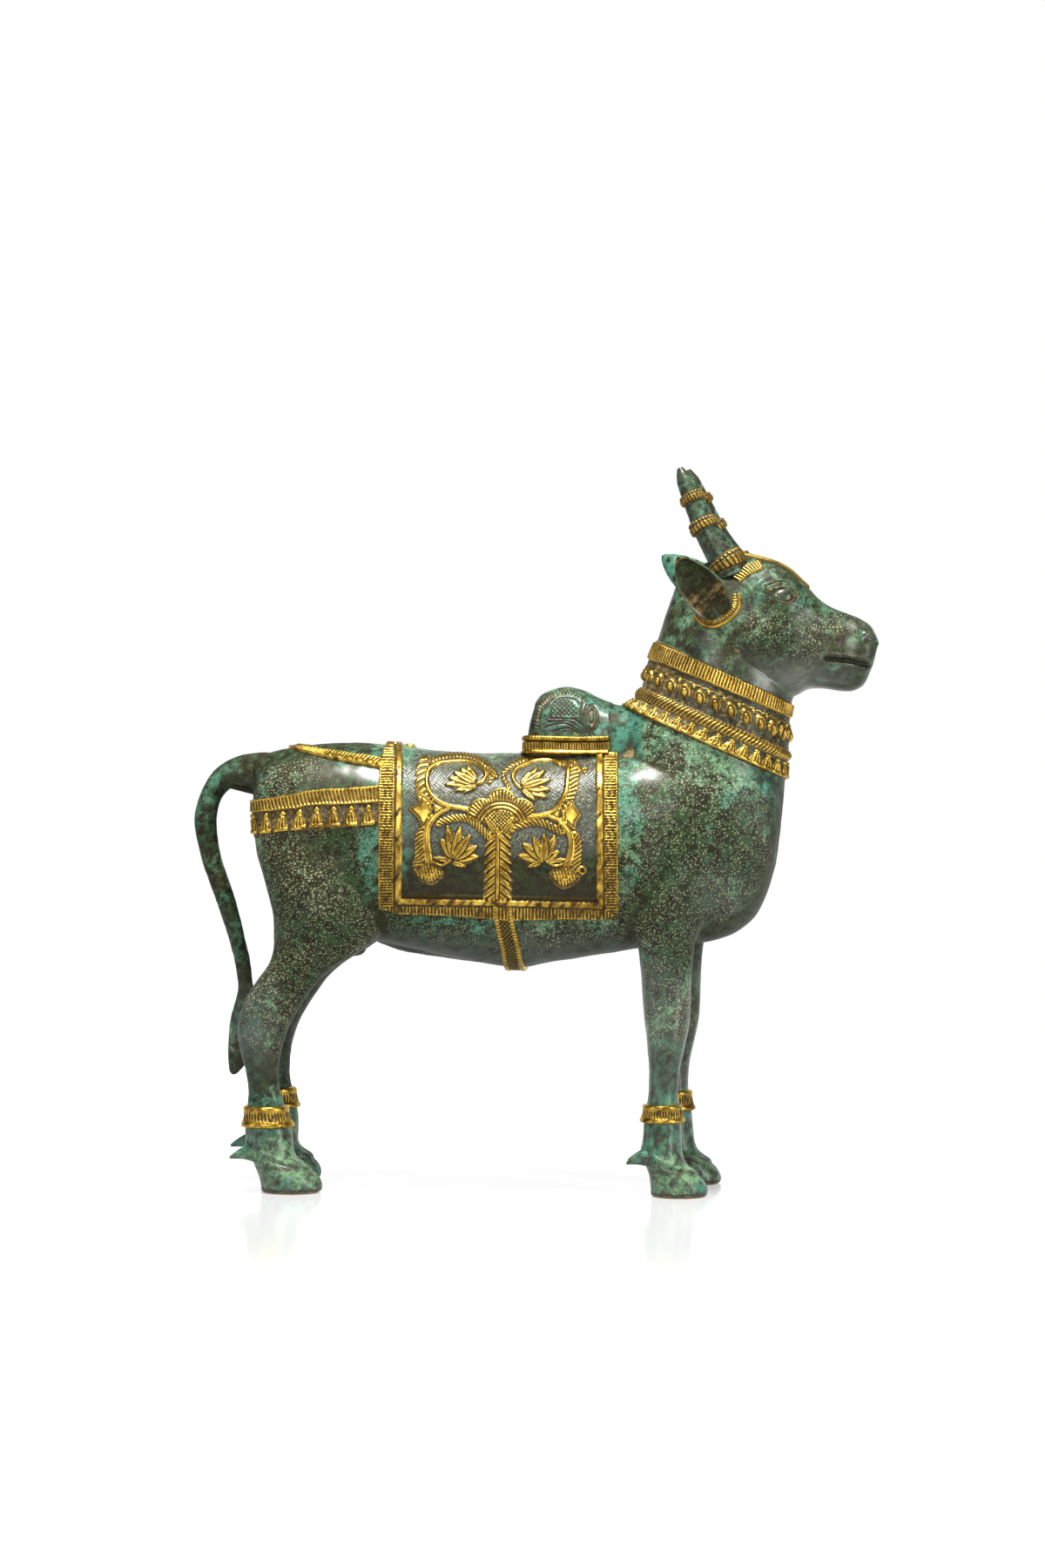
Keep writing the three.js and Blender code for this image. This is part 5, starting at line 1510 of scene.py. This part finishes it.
# The ball's middle and reaches, then the lines of the lids, the fold and the corner, all in side view.
EYEBALL = (137.6, 323.9, 4.6, 3.4)
UPPER_LID = [(131.6, 326.9), (135.0, 328.0), (138.7, 327.7), (141.7, 325.6), (143.3, 322.6)]
LOWER_LID = [(131.6, 326.9), (132.8, 323.2), (135.1, 320.7), (138.7, 319.5), (141.7, 320.6), (143.3, 322.6)]
LID_FOLD = [(127.1, 328.5), (130.2, 329.7), (133.6, 331.1), (137, 331.4), (139.9, 330.3), (142.3, 327.5),
            (144.6, 323)]
EYE_TAIL = [(127.1, 328.3), (129.1, 326.6), (131.8, 326.7)]
# How far from the eye the lashes begin and end, by the angle round it.
LASH_TURNS = [-0.3, 0.0, 0.9, 1.57, 2.3, 2.6]
LASH_REACHES = ([8.9, 9.0, 9.6, 11.2, 11.4, 12.0], [11.8, 12.4, 14.0, 14.6, 15.4, 15.6])


def build_eyes():
    """Each eye as a fine raised plate: ball, two lids, the fold above them, and lashes across the brow."""
    for name, side in (("near_eye", -1), ("far_eye", 1)):
        x = np.linspace(122.5, 151.5, 214)[None]
        lift = np.linspace(0.5, 1.42, 190)[:, None]
        rays = stacked(0.0 * x, side * np.cos(lift), np.sin(lift))
        base = blurred(cast(stacked(x, 0.0 * lift, 305.0), rays, "head"), 2)
        x, z = base[..., 0], base[..., 2]
        ball = np.hypot((x - EYEBALL[0]) / EYEBALL[2], (z - EYEBALL[1]) / EYEBALL[3])
        upper, lower, fold, tail = (path_distance(x, z, smooth_path(path, 8))[0] for path in (
            UPPER_LID, LOWER_LID, LID_FOLD, EYE_TAIL))
        turn = np.arctan2(z - 321.0, x - 136.0)
        far = np.hypot(x - 136.0, z - 321.0)
        inner, outer = (np.interp(turn, LASH_TURNS, reach) for reach in LASH_REACHES)
        lash = groove(turn * 10.6 + 0.12 * far, 0.2) * step(inner, inner + 0.8, far)
        lash = lash * step(outer, outer - 0.9, far) * step(-0.35, -0.2, turn) * step(2.62, 2.45, turn)
        ridge = 0.75 * peak(upper, 0, 0.62) + 0.7 * peak(lower, 0, 0.5)
        ridge = ridge + 0.3 * peak(fold, 1.0, 0.7) + 0.45 * peak(tail, 0, 0.5)
        crease = peak(fold, 0, 0.38)
        under = peak(ball, 1.1, 0.1)
        rise = 0.32 + ridge + 1.25 * dome(ball) - 0.5 * crease - 0.4 * lash - 0.35 * under
        brow_side = (turn > -0.4) * (turn < 2.75)
        out = np.maximum(step(outer, outer + 2.4, far) * brow_side,
                         step(7.2, 10.0, np.hypot(x - 137.4, (z - 325) / 0.95)) * (1 - brow_side))
        out = blurred(out, 6)
        piece = shell(name, base, rise * (1 - out) - 0.7 * out, [[137, side * 10, 322]])
        count = len(piece.data.vertices)
        lids = peak(lower, 0, 0.5) + 0.7 * peak(upper, 0, 0.45) + 0.8 * peak(tail, 0, 0.5)
        lids = lids + 0.6 * peak(fold, 0.7, 0.4) * (z < 331.9)
        # The crease, the lashes and the groove round the ball are darkened: painted shade in these grooves.
        cuts = 0.9 * crease + 0.8 * lash + 0.9 * under
        lid, dark, eyeball = (padded(np.clip(grid, 0, 1), out.shape, count) for grid in (
            lids, cuts, step(1.22, 0.98, ball)))
        patina = head_patina(points_of(piece), np.zeros(count))
        patina["gilt"] = 0.6 * lid * (1 - dark)
        patina["teal"] = patina["teal"] * (1 - eyeball) * (1 - lid)
        patina["dirt"] = 0.62 * dark + 0.55 * lid
        patina["wax"] = patina["wax"] + 0.6 * eyeball
        patina["speck"] = patina["speck"] * (1 - eyeball)
        finish(piece, **patina)
def build_ears():
    """Two cupped ears: a closed leaf whose front face is hollow and whose rim thins towards the tip."""
    for name, ear in zip(("near_ear", "far_ear"), EARS):
        points, four, three, inside, lip, t = ear_leaf(ear)
        mottle = wavy(points, 12, 3)
        tip = step(0.82, 0.98, t)
        rim = 1 - step(0.0, 0.5, np.abs(lip - 0.5))
        heart = inside * peak(t, 0.34, 0.2)
        # The light gilt on the rim is partly a painted highlight along the lip.
        finish(new_mesh(name, points, *outwards(points, four, three)), gilt=0.3 * rim * (1 - tip),
               dirt=0.4 * inside + 0.45 * heart + 0.5 * tip + 0.5 * rim + 0.25 * mottle,
               teal=0.5 - 0.4 * inside + 0.3 * mottle, speck=0.15, wax=0.25 + 0.5 * rim - 0.1 * inside)
def ear_leaf(ear, rows=96, columns=96, hollow=4.4):
    """A cupped leaf from inside the head to its tip: its skin, and how much each point lies in the hollow, on
    the lip and along the leaf.

    Each section's front runs across as a parabola that is deepest in the middle; its back follows the same
    parabola behind a wall that thins towards the tip, and both meet in a rounded rim.
    """
    base, tip, across, half = (np.asarray(part, float) for part in ear)
    along = tip - base
    across = across - along * (across @ along) / (along @ along)
    across = across / np.linalg.norm(across)
    face = np.cross(along, across)
    face = face / np.linalg.norm(face)
    if face[1] * base[1] < 0:
        face = -face
    t = np.linspace(-0.04, 1, rows)[:, None]
    up = np.clip((t + 0.04) / 1.04, 0, 1)
    width = half * np.maximum(0.03, np.sin(math.pi * up ** 0.78) ** 0.62)
    depth = hollow * np.sin(math.pi * up) ** 0.8
    wall = 4.6 * (1 - up) ** 1.5 + 1.2
    angle = np.linspace(0, 2 * math.pi, columns, endpoint=False)[None]
    w = np.cos(angle)
    front = np.sin(angle) > 0
    out = -depth * (1 - w ** 2) - wall / 2 + wall / 2 * signed_power(np.sin(angle), 0.5)
    out = out + 0.5 * peak(np.abs(w), 0.93, 0.07) * front
    rings = base + along * t[..., None] + across * (width * w)[..., None] + face * out[..., None]
    inside = front * step(0.96, 0.86, np.abs(w))
    lip = front * step(0.8, 0.9, np.abs(w)) * 0.5
    each = ((inside, [0, 0]), (lip, [0, 0]), (t, [0, 1]))
    return (*closed_loft(rings), *(np.append(part + 0 * out, ends) for part, ends in each))
# Material and stage

class Wire:
    """A node socket that can be used in Python sums, differences and products; each adds a Math node."""

    tree = None

    def __init__(self, socket):
        self.socket = socket

    @classmethod
    def node(cls, kind, settings=None, **sockets):
        """A node of a type with its settings, and its sockets' values or links, by name or i and a number."""
        node = cls.tree.nodes.new(kind)
        for name, value in (settings or {}).items():
            setattr(node, name, value)
        for name, value in sockets.items():
            key = int(name[1:]) if name[0] == "i" and name[1:].isdigit() else name.replace("_", " ")
            if isinstance(value, Wire):
                cls.tree.links.new(value.socket, node.inputs[key])
            else:
                node.inputs[key].default_value = value
        return node

    @classmethod
    def out(cls, kind, output=0, settings=None, **sockets):
        """One output of a new node."""
        return Wire(cls.node(kind, settings, **sockets).outputs[output])

    def math(self, operation, other=0.0, swap=False, clamp=False):
        """A Math node on this and another value, which come in the other order if swapped."""
        one, two = (other, self) if swap else (self, other)
        return Wire.out("ShaderNodeMath", 0, {"operation": operation, "use_clamp": clamp}, i0=one, i1=two)

    def __add__(self, other):
        return self.math("ADD", other)

    def __mul__(self, other):
        return self.math("MULTIPLY", other)

    def __sub__(self, other):
        return self.math("SUBTRACT", other)

    def __rsub__(self, other):
        return self.math("SUBTRACT", other, swap=True)

    __radd__ = __add__

    def clamp(self):
        """The value kept from 0 to 1."""
        return self.math("ADD", 0.0, clamp=True)

    def ramp(self, low, high):
        """A smooth step from 0 at `low` to 1 at `high`."""
        settings = {"interpolation_type": "SMOOTHSTEP"}
        return Wire.out("ShaderNodeMapRange", 0, settings, Value=self, From_Min=low, From_Max=high)

    def mix(self, one, two):
        """Colour `one` where this is 0 and colour `two` where it is 1."""
        settings = {"data_type": "RGBA", "clamp_factor": True}
        colours = [c if isinstance(c, Wire) else (*c, 1.0) for c in (one, two)]
        return Wire.out("ShaderNodeMix", 2, settings, i0=self, i6=colours[0], i7=colours[1])


def rgb(code):
    """A linear colour from a six-digit screen colour."""
    parts = [int(code[k:k + 2], 16) / 255 for k in (0, 2, 4)]
    return tuple(c / 12.92 if c <= 0.04045 else ((c + 0.055) / 1.055) ** 2.4 for c in parts)


def noise(vector, pitch, detail=3.0, roughness=0.55, distortion=0.0):
    """Noise whose lumps are about `pitch` millimetres across."""
    return Wire.out("ShaderNodeTexNoise", 0, Vector=vector, Scale=1 / (pitch * MM), Detail=detail,
                    Roughness=roughness, Distortion=distortion)


def cells(vector, pitch):
    """Distance from the middle of the nearest of many cells, each about `pitch` millimetres across."""
    return Wire.out("ShaderNodeTexVoronoi", "Distance", Vector=vector, Scale=1 / (pitch * MM))
def make_finish(look):
    """Patinated brass: dark ground, smoke, turquoise bloom, pale specks, dirt with painted shade in the
    hollows, and gilding over them.
    """
    material = bpy.data.materials.new("nandi_finish")
    material.use_nodes = True
    Wire.tree = material.node_tree
    Wire.tree.nodes.clear()
    where = Wire.out("ShaderNodeTexCoord", "Object")
    metal = Wire.node("ShaderNodeSeparateColor", Color=Wire.out(
        "ShaderNodeAttribute", "Color", {"attribute_name": "metal"}))
    patina = Wire.node("ShaderNodeSeparateColor", Color=Wire.out(
        "ShaderNodeAttribute", "Color", {"attribute_name": "patina"}))
    gilt, dirt, teal = (Wire(socket) for socket in metal.outputs)
    speck, wax, smoke = (Wire(socket) for socket in patina.outputs)

    broad = noise(where, 30, 3, 0.6)
    middling = noise(where, 9, 5, 0.62, 0.4)
    lumpy = noise(where, 5, 3, 0.6)
    mottle = noise(where, 4.5, 6, 0.78, 0.3)
    fine = noise(where, 2.0, 4, 0.65)
    grain = noise(where, 0.6, 2, 0.6)

    # The ground runs from brown-black through olive to bottle green, with reddish brown clouds.
    ground = mottle.ramp(0.43, 0.57).mix(rgb(look.ground_dark), rgb(look.ground_green))
    ground = ((broad * 0.5 + mottle * 0.5).ramp(0.46, 0.58) * 0.65).mix(ground, rgb(look.ground_brown))
    ground = (lumpy.ramp(0.58, 0.7) * mottle.ramp(0.42, 0.55) * 0.6).mix(ground, rgb(look.rust))
    ground = (smoke * (0.35 + middling.ramp(0.35, 0.6) * 0.5)).mix(ground, rgb(look.smoke))
    # Turquoise lies in cloudy sheets that break up into grains at their edges.
    bloom = (teal * 0.8 + broad * 0.35 + middling * 0.5 + mottle * 0.9).ramp(1.02, 1.38)
    bright = broad.ramp(0.44, 0.6).mix(rgb(look.turquoise), rgb(look.teal))
    sheet = (fine * 0.5 + mottle * 0.7 + teal * 0.06).ramp(0.48, 0.75).mix(rgb(look.teal_deep), bright)
    ground = (bloom * 0.88).mix(ground, sheet)
    # Pale specks are small round dots, denser where their amount is higher, with larger ones here and there.
    thick = (speck * 0.9 + lumpy * 1.1 + broad * 0.8).ramp(1.18, 1.85)
    dots = cells(where, 1.2).ramp(0.36, 0.2) * thick
    large = cells(where, 2.3).ramp(0.31, 0.2) * thick * broad.ramp(0.5, 0.6) * fine.ramp(0.3, 0.5)
    flecks = dots.math("MAXIMUM", large)
    pale = bloom.mix(rgb(look.speck), rgb(look.speck_green))
    ground = (flecks * 0.66).mix(ground, pale)
    # Pinpricks are rust brown. Dirt and the shade painted into the hollows run from dark earth to tan.
    prick = cells(where, 4.2).ramp(0.24, 0.12) * middling.ramp(0.4, 0.55) * (bloom * 0.75 + 0.25)
    ground = (prick * 0.85).mix(ground, rgb(look.rust))
    soil_and_shade = (dirt * 1.15 + fine * 0.5 + middling * 0.35).ramp(0.78, 1.4)
    earth = (dirt * 0.6 + fine * 0.6).ramp(0.72, 1.0).mix(rgb(look.dark_earth_and_shade), rgb(look.earth))
    ground = (soil_and_shade * 0.85).mix(ground, earth)

    # Gilding is rubbed through in spots, and brown where dirt stays in it and where shade is painted into its
    # hollows and cuts.
    rubbed = (gilt * 1.2 - fine.ramp(0.66, 0.82) * 0.3 - middling.ramp(0.6, 0.78) * 0.35).ramp(0.28, 0.58)
    gold = (middling * 0.6 + fine * 0.4).ramp(0.36, 0.6).mix(rgb(look.gold_deep), rgb(look.gold))
    stain_and_shade = (dirt + fine * 0.45 + mottle * 0.3).ramp(0.45, 1.0)
    gold = (stain_and_shade * 0.95).mix(gold, rgb(look.gold_brown))
    colour = rubbed.mix(ground, gold)

    rough = 0.5 - wax * 0.12 + grain * 0.14 + flecks * 0.12 + soil_and_shade * 0.18 - smoke * 0.05
    rough = rough * (1 - rubbed) + rubbed * (0.24 + grain * 0.1 + stain_and_shade * 0.3)
    metallic = rubbed * (0.98 - stain_and_shade * 0.4)
    height = (flecks * 0.45 + fine * 0.3 + grain * 0.14 - prick * 0.4) * (1 - rubbed * 0.85) + middling * 0.25
    bump = Wire.out("ShaderNodeBump", 0, Height=height, Strength=0.3, Distance=0.35 * MM)
    coat = ((wax * 1.3 - 0.2) * (1 - rubbed)).clamp() + rubbed * 0.12
    shader = Wire.node("ShaderNodeBsdfPrincipled", Base_Color=colour, Metallic=metallic,
                       Roughness=rough.clamp(), Normal=bump, Coat_Weight=coat,
                       Coat_Roughness=0.26, Coat_Tint=(1.0, 0.97, 0.88, 1.0),
                       Specular_IOR_Level=0.2, Specular_Tint=(1.0, 0.93, 0.7, 1.0))
    Wire.node("ShaderNodeOutputMaterial", Surface=Wire(shader.outputs[0]))
    return material


def make_floor(look):
    """A grey glossy studio floor that glows: painted light makes it white away from the statue and dimmer
    round it, with a soft sheen.
    """
    material = bpy.data.materials.new("studio_floor")
    material.use_nodes = True
    Wire.tree = material.node_tree
    Wire.tree.nodes.clear()
    where = Wire.out("ShaderNodeTexCoord", "Object")
    away = Wire.out("ShaderNodeVectorMath", "Value", {"operation": "LENGTH"}, i0=where)
    glow = away.ramp(0.22, 0.62).mix((look.floor_glow,) * 3, (1.0, 1.0, 1.0))
    shader = Wire.node("ShaderNodeBsdfPrincipled", Base_Color=(0.25, 0.25, 0.25, 1.0), Roughness=0.14,
                       Emission_Color=glow, Emission_Strength=1.0)
    Wire.node("ShaderNodeOutputMaterial", Surface=Wire(shader.outputs[0]))
    return material


def lamp(name, place, target, size, power):
    """A rectangular soft light at a place in millimetres, turned towards its target."""
    light = bpy.data.lights.new(name, "AREA")
    light.shape = "RECTANGLE"
    light.size, light.size_y = size[0] * MM, size[1] * MM
    light.energy = power
    holder = bpy.data.objects.new(name, light)
    bpy.context.collection.objects.link(holder)
    holder.location = Vector(place) * MM
    holder.rotation_euler = (Vector(target) - Vector(place)).to_track_quat("-Z", "Y").to_euler()
def build_stage(look):
    """Floor, world, lights and the camera at the photograph's angle."""
    scene = bpy.context.scene
    scene.view_settings.view_transform = "Standard"
    left, right, front, back = -3000.0, 3000.0, -1700.0, 900.0
    corners = np.array([[left, front, 0], [right, front, 0], [right, back, 0], [left, back, 0]])
    floor = new_mesh("floor", corners, np.array([[0, 1, 2, 3]]), np.empty((0, 3), int))
    floor.data.materials.append(make_floor(look))

    world = bpy.data.worlds.new("studio")
    scene.world = world
    world.use_nodes = True
    Wire.tree = world.node_tree
    Wire.tree.nodes.clear()
    path = Wire.out("ShaderNodeLightPath", "Is Camera Ray")
    glow = Wire.node("ShaderNodeBackground", Color=(1.0, 1.0, 1.0, 1.0),
                     Strength=path * (look.backdrop - look.ambient) + look.ambient)
    Wire.node("ShaderNodeOutputWorld", Surface=Wire(glow.outputs[0]))

    middle = (0, 0, 190)
    lamp("top", (40, -300, 1450), (0, -40, 180), (520, 300), look.top_power)
    lamp("fill", (-250, -1750, 900), middle, (800, 500), look.fill_power)
    lamp("side", (1500, -900, 600), middle, (500, 1200), look.side_power)
    lamp("left", (-1500, -700, 600), middle, (500, 1200), look.left_power)
    lamp("panel", (0, 1000, 380), (0, 0, 380), (3600, 760), look.panel_power)

    camera = bpy.data.cameras.new("camera")
    camera.sensor_fit = "AUTO"
    camera.sensor_width = 36.0
    camera.lens = look.lens
    camera.clip_end = 200.0
    holder = bpy.data.objects.new("camera", camera)
    bpy.context.collection.objects.link(holder)
    holder.location = Vector(EYE_POINT) * MM
    holder.rotation_euler = (math.pi / 2, 0, look.camera_turn)
    scene.camera = holder


# Add-on

class NandiColours(bpy.types.PropertyGroup):
    """The colours of the patina and the gilding, as six-digit screen colours."""

    ground_dark: bpy.props.StringProperty(name="Dark ground", description="Deepest patina", default="0e0c04")
    ground_green: bpy.props.StringProperty(name="Green ground", description="Bottle green patina",
                                           default="233a20")
    ground_brown: bpy.props.StringProperty(name="Brown ground", description="Bare brown metal",
                                           default="261c0b")
    smoke: bpy.props.StringProperty(name="Smoke", description="Blue-grey waxed film", default="4c5350")
    teal: bpy.props.StringProperty(name="Turquoise", description="Bright verdigris", default="628464")
    turquoise: bpy.props.StringProperty(name="Blue verdigris", description="The bluest verdigris",
                                        default="3d7462")
    teal_deep: bpy.props.StringProperty(name="Deep turquoise", description="Thin verdigris", default="1c3728")
    speck: bpy.props.StringProperty(name="Specks", description="Pale flecks of verdigris", default="9a9f80")
    speck_green: bpy.props.StringProperty(name="Green specks", description="Flecks in the verdigris",
                                          default="90ab86")
    rust: bpy.props.StringProperty(name="Rust", description="Brown pinpricks", default="3e2812")
    earth: bpy.props.StringProperty(name="Earth", description="Tan dirt in the hollows", default="806a42")
    # The dark earth is also the shade painted into the hollows.
    dark_earth_and_shade: bpy.props.StringProperty(name="Dark earth", description="Dark dirt in the hollows",
                                         default="1c1509")
    gold: bpy.props.StringProperty(name="Gold", description="Bright gilding", default="bd9b3f")
    gold_deep: bpy.props.StringProperty(name="Deep gold", description="Duller gilding", default="735416")
    # Brown gold is also the shade painted into the gilding's hollows and cuts.
    gold_brown: bpy.props.StringProperty(name="Brown gold", description="Gilding under dirt",
                                         default="241803")


class NandiStudio(bpy.types.PropertyGroup):
    """The camera and the lights."""

    lens: bpy.props.FloatProperty(name="Lens", description="Focal length in mm",
                                  default=76.7, min=20, max=300)
    camera_turn: bpy.props.FloatProperty(name="Camera turn", description="How far it is turned to its left",
                                         default=math.radians(5), subtype="ANGLE")
    backdrop: bpy.props.FloatProperty(name="Backdrop", description="Brightness behind the statue",
                                      default=1.0)
    ambient: bpy.props.FloatProperty(name="Ambient", description="Light from all round", default=0.16)
    floor_glow: bpy.props.FloatProperty(name="Floor glow", description="Light the floor gives off",
                                        default=0.44)
    top_power: bpy.props.FloatProperty(name="Top light", description="Overhead softbox",
                                       default=50, unit="POWER")
    fill_power: bpy.props.FloatProperty(name="Fill light", description="Light from the front", default=15,
                                        unit="POWER")
    side_power: bpy.props.FloatProperty(name="Side light", description="Light from ahead",
                                        default=18, unit="POWER")
    left_power: bpy.props.FloatProperty(name="Left light", description="Light from the tail",
                                        default=5, unit="POWER")
    panel_power: bpy.props.FloatProperty(name="Panel", description="Lit panel behind the statue", default=7,
                                         unit="POWER")


class NANDI_OT_stage(bpy.types.Operator):
    """Sets up the floor, the world, the lights and the camera."""

    bl_idname = "nandi.stage"
    bl_label = "Stage"

    def execute(self, context):
        build_stage(look_of(context))
        return {"FINISHED"}


class NANDI_OT_finish(bpy.types.Operator):
    """Makes the patinated brass that every piece shares."""

    bl_idname = "nandi.finish"
    bl_label = "Finish"

    def execute(self, context):
        make_finish(look_of(context))
        return {"FINISHED"}


class NANDI_OT_body(bpy.types.Operator):
    """Builds the trunk, hump, legs and tail."""

    bl_idname = "nandi.body"
    bl_label = "Body"

    def execute(self, context):
        build_body()
        return {"FINISHED"}


class NANDI_OT_head(bpy.types.Operator):
    """Builds the head with its mouth and nostrils."""

    bl_idname = "nandi.head"
    bl_label = "Head"

    def execute(self, context):
        build_head()
        return {"FINISHED"}


class NANDI_OT_eyes(bpy.types.Operator):
    """Builds the eyes with their lids and lashes."""

    bl_idname = "nandi.eyes"
    bl_label = "Eyes"

    def execute(self, context):
        build_eyes()
        return {"FINISHED"}


class NANDI_OT_ears(bpy.types.Operator):
    """Builds the two cupped ears."""

    bl_idname = "nandi.ears"
    bl_label = "Ears"

    def execute(self, context):
        build_ears()
        return {"FINISHED"}


class NANDI_OT_hooves(bpy.types.Operator):
    """Builds the four hooves with their dewclaws."""

    bl_idname = "nandi.hooves"
    bl_label = "Hooves"

    def execute(self, context):
        build_hooves()
        return {"FINISHED"}


class NANDI_OT_bangles(bpy.types.Operator):
    """Builds the ring on each shank."""

    bl_idname = "nandi.bangles"
    bl_label = "Bangles"

    def execute(self, context):
        build_bangles()
        return {"FINISHED"}


class NANDI_OT_horns(bpy.types.Operator):
    """Builds the two ringed horns."""

    bl_idname = "nandi.horns"
    bl_label = "Horns"

    def execute(self, context):
        build_horns()
        return {"FINISHED"}


class NANDI_OT_collars(bpy.types.Operator):
    """Builds the collars, beads and tassels round the neck."""

    bl_idname = "nandi.collars"
    bl_label = "Collars"

    def execute(self, context):
        build_collars()
        return {"FINISHED"}


class NANDI_OT_saddle(bpy.types.Operator):
    """Builds the saddle cloth with its borders and vine."""

    bl_idname = "nandi.saddle"
    bl_label = "Saddle cloth"

    def execute(self, context):
        build_saddle()
        return {"FINISHED"}


class NANDI_OT_belt(bpy.types.Operator):
    """Builds the belt round the hump and the girth below."""

    bl_idname = "nandi.belt"
    bl_label = "Belt and girth"

    def execute(self, context):
        build_belts()
        return {"FINISHED"}


class NANDI_OT_hump(bpy.types.Operator):
    """Builds the engraved skin of the hump."""

    bl_idname = "nandi.hump"
    bl_label = "Hump engraving"

    def execute(self, context):
        build_hump()
        return {"FINISHED"}


class NANDI_OT_straps(bpy.types.Operator):
    """Builds the tasselled rump strap and the croup straps."""

    bl_idname = "nandi.straps"
    bl_label = "Straps"

    def execute(self, context):
        build_straps()
        return {"FINISHED"}


class NANDI_OT_browband(bpy.types.Operator):
    """Builds the gilded bands on the brow and the ears."""

    bl_idname = "nandi.browband"
    bl_label = "Brow trappings"

    def execute(self, context):
        build_brow()
        return {"FINISHED"}


class NANDI_PT_panel(bpy.types.Panel):
    """Lists the steps that build the statue."""

    bl_label = "Nandi statue"
    bl_idname = "NANDI_PT_panel"
    bl_space_type = "VIEW_3D"
    bl_region_type = "UI"
    bl_category = "Nandi"

    def draw(self, context):
        for operator in OPERATORS:
            self.layout.operator(operator.bl_idname)
        for group in (context.scene.nandi_colours, context.scene.nandi_studio):
            for name in group.__annotations__:
                self.layout.prop(group, name)


OPERATORS = (
    NANDI_OT_stage,
    NANDI_OT_finish,
    NANDI_OT_body,
    NANDI_OT_head,
    NANDI_OT_eyes,
    NANDI_OT_ears,
    NANDI_OT_hooves,
    NANDI_OT_bangles,
    NANDI_OT_horns,
    NANDI_OT_collars,
    NANDI_OT_saddle,
    NANDI_OT_belt,
    NANDI_OT_hump,
    NANDI_OT_straps,
    NANDI_OT_browband,
)
GROUPS = (NandiColours, NandiStudio)


class Look:
    """The values of the colours and the studio settings."""

    def __init__(self, *groups):
        for group in groups:
            for name in group.__annotations__:
                setattr(self, name, getattr(group, name))


def look_of(context):
    """The colours and studio settings of the scene."""
    return Look(context.scene.nandi_colours, context.scene.nandi_studio)


def register():
    for kind in (*GROUPS, *OPERATORS, NANDI_PT_panel):
        bpy.utils.register_class(kind)
    bpy.types.Scene.nandi_colours = bpy.props.PointerProperty(type=NandiColours)
    bpy.types.Scene.nandi_studio = bpy.props.PointerProperty(type=NandiStudio)


def unregister():
    del bpy.types.Scene.nandi_colours
    del bpy.types.Scene.nandi_studio
    for kind in reversed((*GROUPS, *OPERATORS, NANDI_PT_panel)):
        bpy.utils.unregister_class(kind)


def main():
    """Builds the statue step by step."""
    register()
    for operator in OPERATORS:
        run = getattr(bpy.ops.nandi, operator.bl_idname.split(".")[1])
        if run() != {"FINISHED"}:
            raise RuntimeError(operator.bl_label + " could not be finished")


if __name__ == "__main__":
    main()
